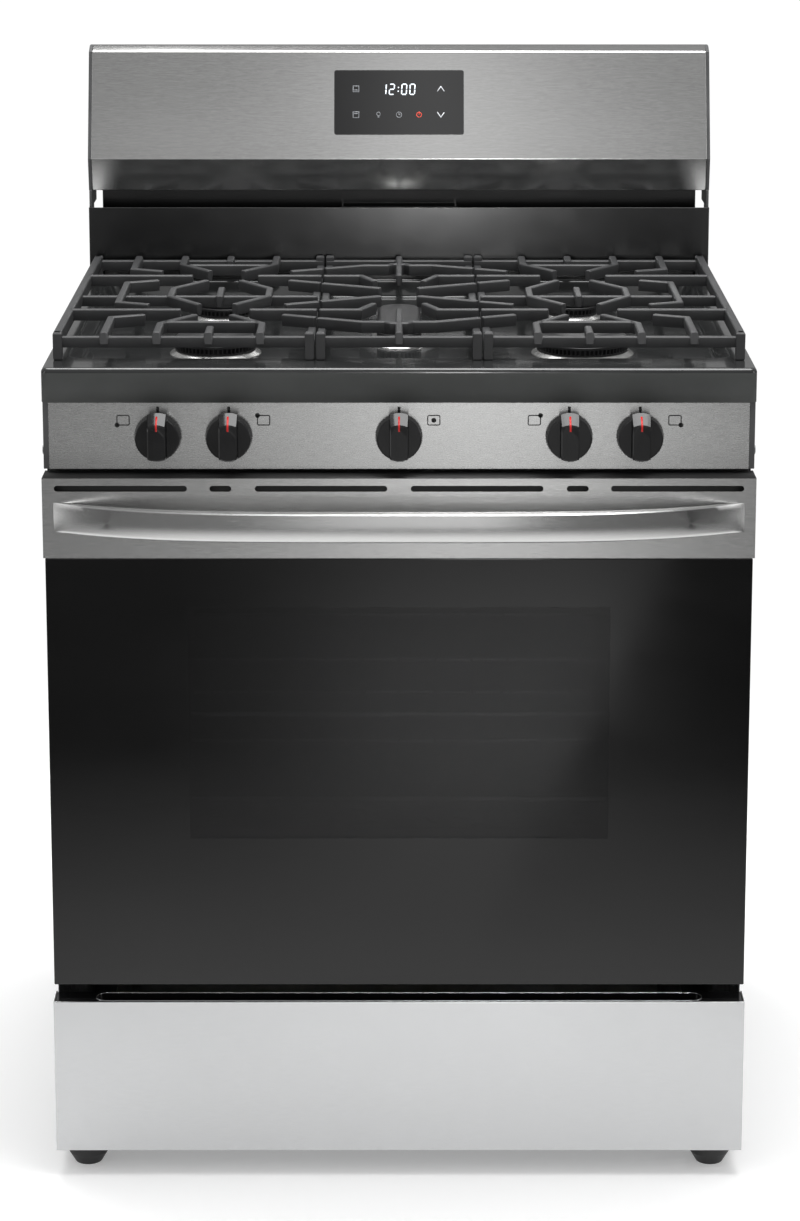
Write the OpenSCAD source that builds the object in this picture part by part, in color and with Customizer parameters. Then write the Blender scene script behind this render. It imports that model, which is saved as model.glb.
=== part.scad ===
// Freestanding gas range with five burners, an oven and a storage drawer.
// Millimetres. +X is to the right, +Y is to the back, +Z is up.
// The origin is the centre of the outer box, on the floor.

/* [Outside] */
// Width of the cooktop, the widest sheet part
range_w = 760; // [750:1:765]
// Depth from the front of the door handle to the back
range_d = 720; // [716:1:724]
// Height of the cooktop's rim above the floor
cooktop_z = 907; // [905:1:912]
// Height of the top of the backguard above the floor
range_h = 1186; // [1180:1:1195]
// Thickness of the outer sheet metal
sheet = 1.5; // [1.2:0.1:1.8]

/* [Door] */
// Height of the bottom edge of the door glass
door_z = 224; // [222:1:226]
// Height of the top edge of the door
door_top_z = 792; // [790:1:793]
// Height of the line between the glass and the steel strip
door_split_z = 705; // [702:1:708]
// Thickness of the closed door, without its handle
door_t = 38; // [36:1:40]
// Distance that the handle stands out from the door
handle_reach = 55; // [50:1:58]
// Height of the handle's bar
handle_h = 32; // [28:1:36]

/* [Oven] */
// Inside width of the oven
oven_w = 576; // [560:2:580]
// Inside depth of the oven behind the front frame
oven_d = 467; // [455:1:470]
// Height of the front edge of the lower rack's wires
lower_rack_z = 410; // [405:1:415]
// Height between neighbouring rack positions
rack_pitch = 49; // [47:1:51]

/* [Drawer] */
// Height of the top edge of the drawer front
drawer_top_z = 204; // [200:1:206]
// Height of the bottom edge of the drawer front
drawer_z = 30; // [30:1:34]

/* [Burners] */
// Distance of the outer burners from the centre line
burner_x = 204.5; // [203:0.5:206]
// Distance of the outer burners before and behind the middle burner
burner_dy = 112.5; // [111:0.5:114]
// Radius of the burner caps: front left, rear left, front right, rear right
cap_r = [44, 36, 50, 28]; // [26:1:52]
// Radius of the middle burner's round ends
oval_r = 24; // [20:1:26]
// Distance between the centres of the middle burner's round ends
oval_l = 120; // [100:1:130]

/* [Knobs] */
// Distance of the knobs from the centre line: inner pair, outer pair
knob_x = [181, 256.5]; // [150:0.5:270]
// Height of the knobs' axis
knob_z = 833; // [831:1:835]
// Radius of a knob's dial
knob_r = 25; // [23:0.5:26]

/* [Grates] */
// Height of the top of the grates
grate_z = 937; // [936:1:940]
// Width of a grate's bars
bar_w = 8; // [7:0.5:9]
// Half of the middle grate's width
split_x = 90; // [89:0.5:91]

/* [Hidden] */
$fn = 48;

// Planes across the depth
door_face_y = handle_reach - range_d / 2;
door_back_y = door_face_y + door_t;
frame_y = door_back_y + 12;
back_y = range_d / 2;
shell_back_y = back_y - 15;
panel_y = door_face_y + 25;
apron_y = door_face_y + 20;
guard_y = back_y - 73;

// Half widths
half_w = range_w / 2;
shell_x = half_w - 2;
frame_x = half_w - 4;
door_x = half_w - 1;
glass_x = half_w - 3;

// Heights
foot_h = 34;
shell_z = foot_h - 1;
apron_z = cooktop_z - 37;
deck_z = cooktop_z - 20;
panel_z = door_top_z + 5;

// Door hinge axis, inside the lower corners of the door
hinge_y = door_back_y - 12;
hinge_z = door_z + 20;
pin_r = 4;
running_gap = 0.05;
bracket_x = 335;
bracket_t = 6;
bracket_slot = bracket_t + 3;

// Oven
oven_x = oven_w / 2;
oven_front_y = frame_y + 3;
oven_back_y = oven_front_y + oven_d;
oven_top_z = 700;
oven_bottom_z = 240;
oven_floor_z = 266;
wire_r = 3.2;
rack_front_y = oven_front_y + 27;
rack_l = 410;
shelf_gap = 0.4;

// Grates, measured from the middle burner and from each outer burner
grid_y = door_face_y + 323.5;
grate_half_d = 258;
grate_x = half_w - 9;
finger_h = 13;
frame_top_z = grate_z - 5;
frame_low_z = grate_z - 17;
grate_foot_z = cooktop_z + 0.3;
tip_y = 32;
tip_x = 19.5;
claw_x = 38;
ring_x = 55.5;
ring_y = 26;
side_tip_x = 76;
side_x = 112;
split_gap = 2;

// Outer burners in the order of cap_r
burner_at = [
    [-burner_x, grid_y - burner_dy],
    [-burner_x, grid_y + burner_dy],
    [burner_x, grid_y - burner_dy],
    [burner_x, grid_y + burner_dy],
];
cap_z = deck_z + 15;
cap_h = 6;

// Knobs from left to right
knob_at = [-knob_x[1], -knob_x[0], 0, knob_x[0], knob_x[1]];
stem_r = 4;
stem_front_y = panel_y - 20;
valve_front_y = panel_y + 18;
valve_back_y = panel_y + 54;
pipe_r = 10.67;
pipe_y = valve_back_y + pipe_r;
knob_back_y = panel_y - 4.5;
dial_t = 12;
grip_t = 14;
grip_w = 22;

// Services at the back
inlet_x = 300;
inlet_z = 120;
gland_x = -300;

// Backguard profile
guard_top_z = cooktop_z + 87;
console_low_z = guard_top_z + 19;
console_edge_z = console_low_z + 40;
console_face_y = guard_y + 4;
console_top_y = console_face_y + 40;
console_bevel_z = range_h - 6;
face_tilt = atan((console_top_y - console_face_y) / (console_bevel_z - console_edge_z));

// A box from its two ends along each axis
module block(x, y, z) {
    translate([x[0], y[0], z[0]])
        cube([x[1] - x[0], y[1] - y[0], z[1] - z[0]]);
}

// The children and their mirror image on the other side of the centre line
module both_sides() {
    children();
    mirror([1, 0, 0]) children();
}

// A cylinder along X, Y or Z between two places on its axis
module rod_x(r, x, y, z) {
    translate([x[0], y, z]) rotate([0, 90, 0]) cylinder(r = r, h = x[1] - x[0]);
}

module rod_y(r, x, y, z) {
    translate([x, y[0], z]) rotate([-90, 0, 0]) cylinder(r = r, h = y[1] - y[0]);
}

module rod_z(r, x, y, z) {
    translate([x, y, z[0]]) cylinder(r = r, h = z[1] - z[0]);
}

// A slot with round ends that lies along X, cut through along Y
module slot_y(x, y, z, r) {
    block([x[0] + r, x[1] - r], y, [z - r, z + r]);
    rod_y(r, x[0] + r, y, z);
    rod_y(r, x[1] - r, y, z);
}

// A flat bar of one width that follows a line of points in plan
function left_of(v) = [-v[1], v[0]] / norm(v);
function step_normal(p, i) = left_of(p[min(i + 1, len(p) - 1)] - p[min(i, len(p) - 2)]);
function corner_normal(p, i) =
    let (a = step_normal(p, max(i - 1, 0)), b = step_normal(p, i)) (a + b) / (1 + a * b);
function strip(p, w) = concat(
    [for (i = [0:len(p) - 1]) p[i] + corner_normal(p, i) * w / 2],
    [for (i = [len(p) - 1:-1:0]) p[i] - corner_normal(p, i) * w / 2]
);

module rail(points, w, z) {
    translate([0, 0, z[0]])
        linear_extrude(z[1] - z[0]) polygon(strip(points, w));
}

// ---------------------------------------------------------------- body

module side_panel() {
    return_w = 20;
    block([-shell_x, sheet - shell_x], [frame_y, shell_back_y], [shell_z, apron_z - 2]);
    block([-shell_x, return_w - shell_x], [shell_back_y - sheet, shell_back_y], [shell_z, apron_z - 2]);
    block([-shell_x, return_w - shell_x], [frame_y + 5, shell_back_y], [shell_z, foot_h]);
}

module side_panel_left() {
    color("#1d1e1f") side_panel();
}

module side_panel_right() {
    color("#1d1e1f") mirror([1, 0, 0]) side_panel();
}

module back_panel() {
    panel_back_y = shell_back_y - 2;
    louvre_count = 6;
    louvre_pitch = 14;
    louvre_z = 640;
    inlet_hole_r = 18;
    gland_hole_r = 11;
    color("#9a9c9c") difference() {
        block([-frame_x, frame_x], [panel_back_y - sheet, panel_back_y], [60, apron_z - 4]);
        rod_y(inlet_hole_r, inlet_x, [panel_back_y - 5, panel_back_y + 5], inlet_z);
        rod_y(gland_hole_r, gland_x, [panel_back_y - 5, panel_back_y + 5], inlet_z);
        for (i = [0:louvre_count - 1])
            both_sides()
                slot_y([90, 290], [panel_back_y - 5, panel_back_y + 5], louvre_z + i * louvre_pitch, 3);
    }
}

foot_x = 347;
foot_front_y = door_face_y + 45;
foot_back_y = shell_back_y - 40;
stud_r = 4.9;

module base_frame() {
    rail_in_x = 331;
    member_d = 26;
    member_h = 3;
    web_h = 22;
    color("#3a3b3c") difference() {
        union() {
            both_sides() {
                block(
                    [rail_in_x, frame_x],
                    [foot_front_y - 22, shell_back_y - 5],
                    [foot_h, foot_h + member_h]
                );
                block(
                    [rail_in_x + 4, rail_in_x + 7],
                    [foot_front_y - 22, shell_back_y - 5],
                    [foot_h, foot_h + web_h]
                );
            }
            for (y = [foot_front_y, shell_back_y - 5 - member_d])
                block([-rail_in_x - 1, rail_in_x + 1], [y, y + member_d], [foot_h, foot_h + member_h]);
        }
        both_sides()
            for (y = [foot_front_y, foot_back_y])
                rod_z(stud_r + 0.1, foot_x, y, [foot_h - 1, foot_h + web_h + 1]);
    }
}

module levelling_feet() {
    heel_r = 15;
    pad_r = 22;
    collar_r = 10;
    taper_h = 12;
    pad_top_z = shell_z - 0.3;
    stud_top_z = foot_h + 16;
    color("#141414") both_sides()
        for (y = [foot_front_y, foot_back_y]) {
            translate([foot_x, y, 0]) cylinder(r1 = heel_r, r2 = pad_r, h = taper_h);
            rod_z(pad_r, foot_x, y, [taper_h, pad_top_z]);
            rod_z(collar_r, foot_x, y, [pad_top_z, foot_h]);
            rod_z(stud_r, foot_x, y, [foot_h, stud_top_z]);
        }
}

module front_frame() {
    frame_t = 3;
    opening_top_z = 706;
    slot_h = 30;
    color("#202122") difference() {
        block([-frame_x, frame_x], [frame_y, frame_y + frame_t], [door_z - 6, panel_z - 2]);
        block(
            [2 - oven_x, oven_x - 2],
            [frame_y - 1, frame_y + frame_t + 1],
            [oven_floor_z, opening_top_z]
        );
        both_sides()
            block(
                [bracket_x - bracket_t / 2 - 1, bracket_x + bracket_t / 2 + 1],
                [frame_y - 1, frame_y + frame_t + 1],
                [hinge_z - slot_h / 2, hinge_z + slot_h / 2]
            );
    }
}

// ---------------------------------------------------------------- oven

function shelf_z(i) = lower_rack_z + (i - 2) * rack_pitch - wire_r - shelf_gap;

module oven_liner() {
    shelf_count = 7;
    shelf_w = 11;
    shelf_h = 5;
    flue_x = 60;
    flue_y = [oven_back_y - 28, oven_back_y - 8];
    color("#2b2d33") difference() {
        union() {
            difference() {
                block(
                    [-oven_x - sheet, oven_x + sheet],
                    [oven_front_y, oven_back_y + sheet],
                    [oven_bottom_z - sheet, oven_top_z + sheet]
                );
                block([-oven_x, oven_x], [oven_front_y - 1, oven_back_y], [oven_bottom_z, oven_top_z]);
            }
            both_sides()
                for (i = [0:shelf_count - 1])
                    block(
                        [oven_x - shelf_w, oven_x + sheet / 2],
                        [oven_front_y + 14, oven_back_y - 6],
                        [shelf_z(i) - shelf_h, shelf_z(i)]
                    );
        }
        block([-flue_x, flue_x], flue_y, [oven_top_z - 1, oven_top_z + sheet + 1]);
    }
}

module oven_insulation() {
    wool_t = 30;
    flue_x = 71;
    color("#c9b98a") difference() {
        block(
            [-oven_x - sheet - wool_t, oven_x + sheet + wool_t],
            [oven_front_y + 1, oven_back_y + sheet + wool_t],
            [oven_bottom_z - 26, oven_top_z + wool_t]
        );
        block(
            [-oven_x - sheet, oven_x + sheet],
            [oven_front_y, oven_back_y + sheet],
            [oven_bottom_z - sheet, oven_top_z + sheet]
        );
        block([-flue_x, flue_x], [oven_back_y - 36, oven_back_y], [oven_top_z, oven_top_z + wool_t + 1]);
        both_sides() rod_y(13, 90, [oven_back_y, oven_back_y + wool_t + 5], oven_bottom_z + 13);
    }
}

module oven_floor() {
    plate_t = 2;
    slot_count = 9;
    slot_pitch = 48;
    color("#2b2d33") difference() {
        block(
            [2.5 - oven_x, oven_x - 2.5],
            [oven_front_y + 1, oven_back_y - 1],
            [oven_floor_z - plate_t, oven_floor_z]
        );
        both_sides()
            for (i = [0:slot_count - 1])
                block(
                    [oven_x - 36, oven_x - 14],
                    [oven_front_y + 26 + i * slot_pitch, oven_front_y + 50 + i * slot_pitch],
                    [oven_floor_z - plate_t - 1, oven_floor_z + 1]
                );
    }
}

bake_z = oven_bottom_z + 12;
broil_z = oven_top_z - 30;
oven_tube_r = 8;
oven_tube_front_y = oven_front_y + 90;

module bake_burner() {
    foot_w = 30;
    color("#a9abac") {
        rod_y(oven_tube_r, 0, [oven_tube_front_y, oven_back_y - 0.3], bake_z);
        for (y = [oven_tube_front_y + 10, oven_back_y - 60])
            block([-foot_w / 2, foot_w / 2], [y, y + 3], [oven_bottom_z, bake_z]);
    }
}

module broil_burner() {
    shield_x = 95;
    shield_z = broil_z + 14;
    color("#8d8f90") {
        rod_y(oven_tube_r, 0, [oven_tube_front_y, oven_back_y - 0.3], broil_z);
        block(
            [-shield_x, shield_x],
            [oven_tube_front_y + 20, oven_back_y - 70],
            [shield_z, shield_z + sheet]
        );
        for (y = [oven_tube_front_y + 40, oven_back_y - 90])
            block([-4, 4], [y, y + 3], [broil_z, oven_top_z]);
    }
}

module oven_igniters() {
    color("#d8d4c6")
        for (z = [bake_z - 6, broil_z - 6])
            block([22, 42], [oven_back_y - 80, oven_back_y - 0.3], [z, z + 10]);
}

module oven_lamp() {
    lamp_x = -200;
    lamp_z = 610;
    dome_r = 19;
    color("#e9e6da") {
        rod_y(dome_r + 4, lamp_x, [oven_back_y - 8, oven_back_y], lamp_z);
        rod_y(dome_r, lamp_x, [oven_back_y - 30, oven_back_y - 8], lamp_z);
    }
}

module door_gasket() {
    gasket_w = 10;
    low_z = hinge_z + 6;
    high_z = oven_top_z + 22;
    color("#4a4a48") difference() {
        block([-oven_x - 12, oven_x + 12], [door_back_y + 0.6, frame_y], [low_z, high_z]);
        block(
            [gasket_w - oven_x - 12, oven_x + 12 - gasket_w],
            [door_back_y, frame_y + 1],
            [low_z + gasket_w, high_z - gasket_w]
        );
    }
}

module hinge_brackets() {
    plate_y = [hinge_y - 12, frame_y + 22];
    plate_h = 28;
    pin_l = 19;
    color("#b4b6b8") both_sides() {
        block(
            [bracket_x - bracket_t / 2, bracket_x + bracket_t / 2],
            plate_y,
            [hinge_z - plate_h / 2, hinge_z + plate_h / 2]
        );
        rod_x(pin_r, [bracket_x - pin_l / 2, bracket_x + pin_l / 2], hinge_y, hinge_z);
    }
}

// ---------------------------------------------------------------- cooktop

module cooktop() {
    rear_y = guard_y - 4;
    well_x = half_w - 23;
    well_y = [apron_y + 57, rear_y - 16];
    under_z = cooktop_z - sheet;
    hole_r = 15;
    color("#4c4e4e") difference() {
        union() {
            difference() {
                block([-half_w, half_w], [apron_y, rear_y], [apron_z, cooktop_z]);
                block(
                    [sheet - half_w, half_w - sheet],
                    [apron_y + sheet, rear_y - sheet],
                    [apron_z - 1, under_z]
                );
            }
            block(
                [-well_x - sheet, well_x + sheet],
                [well_y[0] - sheet, well_y[1] + sheet],
                [deck_z - sheet, under_z + sheet / 2]
            );
        }
        block([-well_x, well_x], well_y, [deck_z, cooktop_z + 1]);
        for (p = burner_at)
            rod_z(hole_r, p[0], p[1], [deck_z - 5, deck_z + 5]);
        rod_z(hole_r, 0, grid_y, [deck_z - 5, deck_z + 5]);
    }
}

module oval(r, l, z) {
    block([-r, r], [grid_y - l / 2, grid_y + l / 2], z);
    for (s = [-1, 1])
        rod_z(r, 0, grid_y + s * l / 2, z);
}

throat_r = 9;

module burner_heads() {
    dish_h = 5;
    color("#b9bbbc") {
        for (i = [0:3])
            difference() {
                union() {
                    rod_z(cap_r[i] + 7, burner_at[i][0], burner_at[i][1], [deck_z, deck_z + dish_h]);
                    rod_z(cap_r[i] + 1, burner_at[i][0], burner_at[i][1], [deck_z + dish_h, cap_z]);
                }
                rod_z(throat_r, burner_at[i][0], burner_at[i][1], [deck_z - 1, cap_z + 1]);
            }
        difference() {
            union() {
                oval(oval_r + 7, oval_l, [deck_z, deck_z + dish_h]);
                oval(oval_r + 1, oval_l, [deck_z + dish_h, cap_z]);
            }
            rod_z(throat_r, 0, grid_y, [deck_z - 1, cap_z + 1]);
        }
    }
}

module round_cap(i) {
    lip_w = 3;
    color("#161616") {
        rod_z(cap_r[i], burner_at[i][0], burner_at[i][1], [cap_z + 0.3, cap_z + cap_h - 1.5]);
        rod_z(cap_r[i] - lip_w, burner_at[i][0], burner_at[i][1], [cap_z + 0.3, cap_z + cap_h]);
    }
}

module cap_front_left() {
    round_cap(0);
}

module cap_rear_left() {
    round_cap(1);
}

module cap_front_right() {
    round_cap(2);
}

module cap_rear_right() {
    round_cap(3);
}

module cap_middle() {
    lip_w = 3;
    color("#161616") {
        oval(oval_r, oval_l, [cap_z + 0.3, cap_z + cap_h - 1.5]);
        oval(oval_r - lip_w, oval_l, [cap_z + 0.3, cap_z + cap_h]);
    }
}

module spark_electrodes() {
    rod_r = 2.6;
    gap = 11;
    electrode_z = [deck_z, deck_z + 15];
    color("#efece2") {
        for (i = [0:3])
            rod_z(rod_r, burner_at[i][0], burner_at[i][1] + cap_r[i] + gap, electrode_z);
        rod_z(rod_r, 0, grid_y + oval_l / 2 + oval_r + gap, electrode_z);
    }
}

// A gas tube from a valve back to its burner, across to it and up its throat
module burner_tube(from_x, to) {
    tube_r = 4;
    run_z = knob_z + 24;
    start_y = valve_front_y + 18;
    rod_z(tube_r, from_x, start_y, [knob_z + 12, run_z]);
    translate([from_x, start_y, run_z]) sphere(r = tube_r);
    rod_y(tube_r, from_x, [start_y, to[1]], run_z);
    translate([from_x, to[1], run_z]) sphere(r = tube_r);
    if (from_x != to[0]) {
        rod_x(tube_r, [min(from_x, to[0]), max(from_x, to[0])], to[1], run_z);
        translate([to[0], to[1], run_z]) sphere(r = tube_r);
    }
    rod_z(tube_r, to[0], to[1], [run_z, deck_z + 4]);
}

module burner_tubes() {
    color("#c4c6c8") {
        burner_tube(knob_at[0], burner_at[0]);
        burner_tube(knob_at[1], burner_at[1]);
        burner_tube(knob_at[2], [0, grid_y]);
        burner_tube(knob_at[3], burner_at[3]);
        burner_tube(knob_at[4], burner_at[2]);
    }
}

// Supply pipe from the inlet at the back, up to the regulator and along the valves
module gas_manifold() {
    rise_x = 352;
    rise_y = shell_back_y - 30;
    elbow_r = pipe_r + 2;
    collar_r = 14;
    regulator_r = 20;
    regulator_y = 60;
    pipe_end_x = -290;
    color("#6f7274") {
        rod_y(pipe_r, inlet_x, [rise_y, shell_back_y + 14], inlet_z);
        rod_y(collar_r, inlet_x, [shell_back_y - 1.5, shell_back_y + 1.5], inlet_z);
        rod_x(pipe_r, [inlet_x, rise_x], rise_y, inlet_z);
        rod_z(pipe_r, rise_x, rise_y, [inlet_z, knob_z]);
        rod_y(pipe_r, rise_x, [pipe_y, rise_y], knob_z);
        rod_x(pipe_r, [pipe_end_x, rise_x], pipe_y, knob_z);
        rod_z(regulator_r, rise_x, regulator_y, [knob_z - 26, knob_z + 26]);
        for (p = [
            [inlet_x, rise_y, inlet_z],
            [rise_x, rise_y, inlet_z],
            [rise_x, rise_y, knob_z],
            [rise_x, pipe_y, knob_z],
        ])
            translate(p) cube(2 * elbow_r, center = true);
    }
}

module gas_valves() {
    valve_w = 24;
    color("#b59a56")
        for (x = knob_at)
            difference() {
                block(
                    [x - valve_w / 2, x + valve_w / 2],
                    [valve_front_y, valve_back_y],
                    [knob_z - 12, knob_z + 12]
                );
                rod_y(stem_r + running_gap, x, [valve_front_y - 1, valve_front_y + 22], knob_z);
            }
}

// ---------------------------------------------------------------- front controls

module control_panel() {
    panel_x = half_w - 7;
    return_d = 18;
    stem_hole_r = 8;
    top_z = apron_z - 0.3;
    color("#b6b7b8") difference() {
        union() {
            block([-panel_x, panel_x], [panel_y, panel_y + sheet], [panel_z, top_z]);
            block([-panel_x, panel_x], [panel_y, panel_y + return_d], [top_z - sheet, top_z]);
            block([-panel_x, panel_x], [panel_y, panel_y + return_d], [panel_z, panel_z + sheet]);
        }
        for (x = knob_at)
            rod_y(stem_hole_r, x, [panel_y - 1, panel_y + sheet + 1], knob_z);
    }
}

console_profile = [
    [console_face_y + 8, console_low_z],
    [console_face_y, console_edge_z],
    [console_top_y, console_bevel_z],
    [console_top_y + 14, range_h],
    [back_y - 2, range_h],
    [back_y - 2, console_low_z],
];

// A piece of the console's outline between two places across the width
module console_slice(x, profile) {
    translate([x[0], 0, 0])
        rotate([90, 0, 90]) linear_extrude(x[1] - x[0]) polygon(profile);
}

module end_caps() {
    cap_d = 25;
    leg_t = 3;
    color("#2a2b2c") both_sides() {
        block([door_x - 6, door_x], [panel_y, panel_y + cap_d], [panel_z, apron_z - 0.3]);
        console_slice([door_x - 4, door_x], console_profile);
        block(
            [door_x - leg_t - 1, door_x - 1],
            [guard_y + 4, back_y - 3],
            [guard_top_z, console_low_z + 1]
        );
    }
}

module side_screws() {
    head_r = 5;
    head_t = 2;
    screw_z = 815;
    color("#55575a") both_sides() {
        rod_x(head_r, [door_x, door_x + head_t], panel_y + 14, screw_z);
        for (z = [260, 560, 840])
            rod_x(head_r, [shell_x, shell_x + head_t], shell_back_y - 12, z);
    }
}

module valve_stem(i) {
    stem_l = 55;
    color("#c9cacb") rod_y(stem_r, knob_at[i], [stem_front_y, stem_front_y + stem_l], knob_z);
}

module valve_stem_1() {
    valve_stem(0);
}

module valve_stem_2() {
    valve_stem(1);
}

module valve_stem_3() {
    valve_stem(2);
}

module valve_stem_4() {
    valve_stem(3);
}

module valve_stem_5() {
    valve_stem(4);
}

module knob(i) {
    dial_y = knob_back_y - dial_t;
    grip_y = dial_y - grip_t;
    grip_top = knob_r + 3.3;
    grip_bottom = knob_r - 3;
    color("#191919") difference() {
        union() {
            rod_y(knob_r, knob_at[i], [dial_y, knob_back_y], knob_z);
            intersection() {
                block(
                    [knob_at[i] - grip_w / 2, knob_at[i] + grip_w / 2],
                    [grip_y, dial_y + 1],
                    [knob_z - grip_bottom, knob_z + grip_top]
                );
                rod_y(grip_top, knob_at[i], [grip_y, dial_y + 1], knob_z);
            }
        }
        rod_y(stem_r + running_gap, knob_at[i], [stem_front_y - 5, knob_back_y + 1], knob_z);
    }
}

module knob_1() {
    knob(0);
}

module knob_2() {
    knob(1);
}

module knob_3() {
    knob(2);
}

module knob_4() {
    knob(3);
}

module knob_5() {
    knob(4);
}

// ---------------------------------------------------------------- backguard

module backguard_panel() {
    guard_x = half_w - 1.5;
    color("#171819") {
        block([-guard_x, guard_x], [guard_y, guard_y + sheet], [apron_z + 10, guard_top_z]);
        both_sides()
            block([guard_x - sheet, guard_x], [guard_y, shell_back_y], [apron_z + 10, guard_top_z]);
    }
}

module flue_duct() {
    duct_x = 70;
    duct_y = [oven_back_y - 34, oven_back_y - 2];
    duct_low_z = oven_top_z + sheet;
    elbow_z = 780;
    riser_y = [guard_y + 8, guard_y + 42];
    tray_x = 365;
    color("#111213") {
        difference() {
            union() {
                block([-duct_x, duct_x], duct_y, [duct_low_z, elbow_z + 30]);
                block([-duct_x, duct_x], [duct_y[0], riser_y[1]], [elbow_z, elbow_z + 30]);
                block([-duct_x, duct_x], riser_y, [elbow_z, guard_top_z]);
            }
            block(
                [sheet - duct_x, duct_x - sheet],
                [duct_y[0] + sheet, duct_y[1] - sheet],
                [duct_low_z - 1, elbow_z + 20]
            );
            block(
                [sheet - duct_x, duct_x - sheet],
                [duct_y[0] + sheet, riser_y[1] - sheet],
                [elbow_z + sheet, elbow_z + 30 - sheet]
            );
            block(
                [sheet - duct_x, duct_x - sheet],
                [riser_y[0] + sheet, riser_y[1] - sheet],
                [elbow_z + 10, guard_top_z + 1]
            );
        }
        block(
            [-tray_x, tray_x],
            [riser_y[1], riser_y[1] + sheet],
            [guard_top_z - 30, console_low_z - 0.3]
        );
    }
}

module console_shell() {
    shell_end_x = door_x - 4;
    wall = sheet;
    inner_profile = [
        [console_face_y + 8 + wall, console_low_z + wall],
        [console_face_y + wall, console_edge_z],
        [console_top_y + wall, console_bevel_z - wall],
        [console_top_y + 14, range_h - wall],
        [back_y, range_h - wall],
        [back_y, console_low_z + wall],
    ];
    color("#b6b7b8") difference() {
        console_slice([-shell_end_x, shell_end_x], console_profile);
        console_slice([wall - shell_end_x, shell_end_x - wall], inner_profile);
    }
}

module console_cover() {
    cover_x = door_x - 4;
    color("#9a9c9c") {
        block([-cover_x, cover_x], [back_y - 2, back_y], [console_low_z, range_h - 2]);
        block([-cover_x, cover_x], [shell_back_y, shell_back_y + sheet], [apron_z - 2, guard_top_z - 10]);
    }
}

glass_w = 158;
glass_h = 80;
glass_low = 30;

module touch_glass() {
    glass_t = 1.2;
    corner_r = 3;
    color("#0b0b0c")
        translate([0, console_face_y, console_edge_z]) rotate([-face_tilt, 0, 0])
            translate([0, -glass_t, glass_low]) {
                block([-glass_w / 2, glass_w / 2], [0, glass_t], [corner_r, glass_h - corner_r]);
                block([corner_r - glass_w / 2, glass_w / 2 - corner_r], [0, glass_t], [0, glass_h]);
                both_sides()
                    for (z = [corner_r, glass_h - corner_r])
                        rod_y(corner_r, glass_w / 2 - corner_r, [0, glass_t], z);
            }
}

module power_gland() {
    bore_r = 4.5;
    color("#222222") difference() {
        union() {
            rod_y(10.8, gland_x, [shell_back_y - 8, shell_back_y], inlet_z);
            rod_y(14, gland_x, [shell_back_y - 2, shell_back_y + 6], inlet_z);
        }
        rod_y(bore_r, gland_x, [shell_back_y - 9, shell_back_y + 7], inlet_z);
    }
}

// ---------------------------------------------------------------- door

module door_glass() {
    glass_t = 5;
    color("#1b1c1e") block(
        [-glass_x, glass_x],
        [door_face_y, door_face_y + glass_t],
        [door_z, door_split_z - 0.3]
    );
}

module door_steel_strip() {
    vent_r = 3.2;
    vent_z = door_top_z - 11;
    vents = [[12.6, 153], [178, 201], [225, 366]];
    strip_y = [door_face_y, door_back_y];
    color("#b6b7b8") difference() {
        block([-door_x, door_x], strip_y, [door_split_z, door_top_z]);
        block(
            [sheet - door_x, door_x - sheet],
            [door_face_y + sheet, door_back_y - sheet],
            [door_split_z - 1, door_top_z - sheet]
        );
        both_sides()
            for (v = vents) {
                slot_y(v, [door_face_y - 1, door_face_y + sheet + 1], vent_z, vent_r);
                block(
                    [v[0] + 4, v[1] - 4],
                    [door_face_y + 10, door_face_y + 16],
                    [door_top_z - 3, door_top_z + 1]
                );
            }
    }
}

handle_x = 367;
handle_z = 750;
bar_t = 15;
bow_power = 4;

// How far the handle's outer face stands out at a place across the door
function bow(x) = handle_reach * (1 - pow(abs(x) / handle_x, bow_power));

module door_handle() {
    steps = 28;
    outer = [for (i = [0:steps]) let (x = handle_x * (2 * i / steps - 1)) [x, door_face_y - bow(x)]];
    inner_x = handle_x - 13;
    inner = [
        for (i = [steps:-1:0])
            let (x = inner_x * (2 * i / steps - 1))
            [x, door_face_y - (handle_reach - bar_t) * (1 - pow(abs(x) / inner_x, bow_power))]
    ];
    color("#c2c3c4")
        translate([0, 0, handle_z - handle_h / 2])
            linear_extrude(handle_h) polygon(concat(outer, inner));
}

module door_frame() {
    ring_x = [oven_x + 37, 352];
    ring_y = [door_face_y + 5, door_back_y - 2];
    cheek_y = [hinge_y - 12, ring_y[1]];
    cheek_z = [hinge_z - 10, hinge_z + 40];
    cheek_t = 5;
    gap_x = [bracket_x - bracket_slot / 2, bracket_x + bracket_slot / 2];
    color("#54575a") difference() {
        union() {
            difference() {
                block([-ring_x[1], ring_x[1]], ring_y, [hinge_z + 2, door_split_z - 3]);
                block(
                    [-ring_x[0], ring_x[0]],
                    [ring_y[0] - 1, ring_y[1] + 1],
                    [hinge_z + 31, door_split_z - 20]
                );
            }
            both_sides()
                block([gap_x[0] - cheek_t, gap_x[1] + cheek_t], cheek_y, cheek_z);
        }
        both_sides() {
            block(gap_x, [ring_y[0] - 1, ring_y[1] + 1], [cheek_z[0] - 1, hinge_z + 38]);
            rod_x(
                pin_r + running_gap,
                [gap_x[0] - cheek_t - 6, gap_x[1] + cheek_t + 6],
                hinge_y,
                hinge_z
            );
        }
    }
}

window_x = 226;
window_z = [392, 651];

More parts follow.
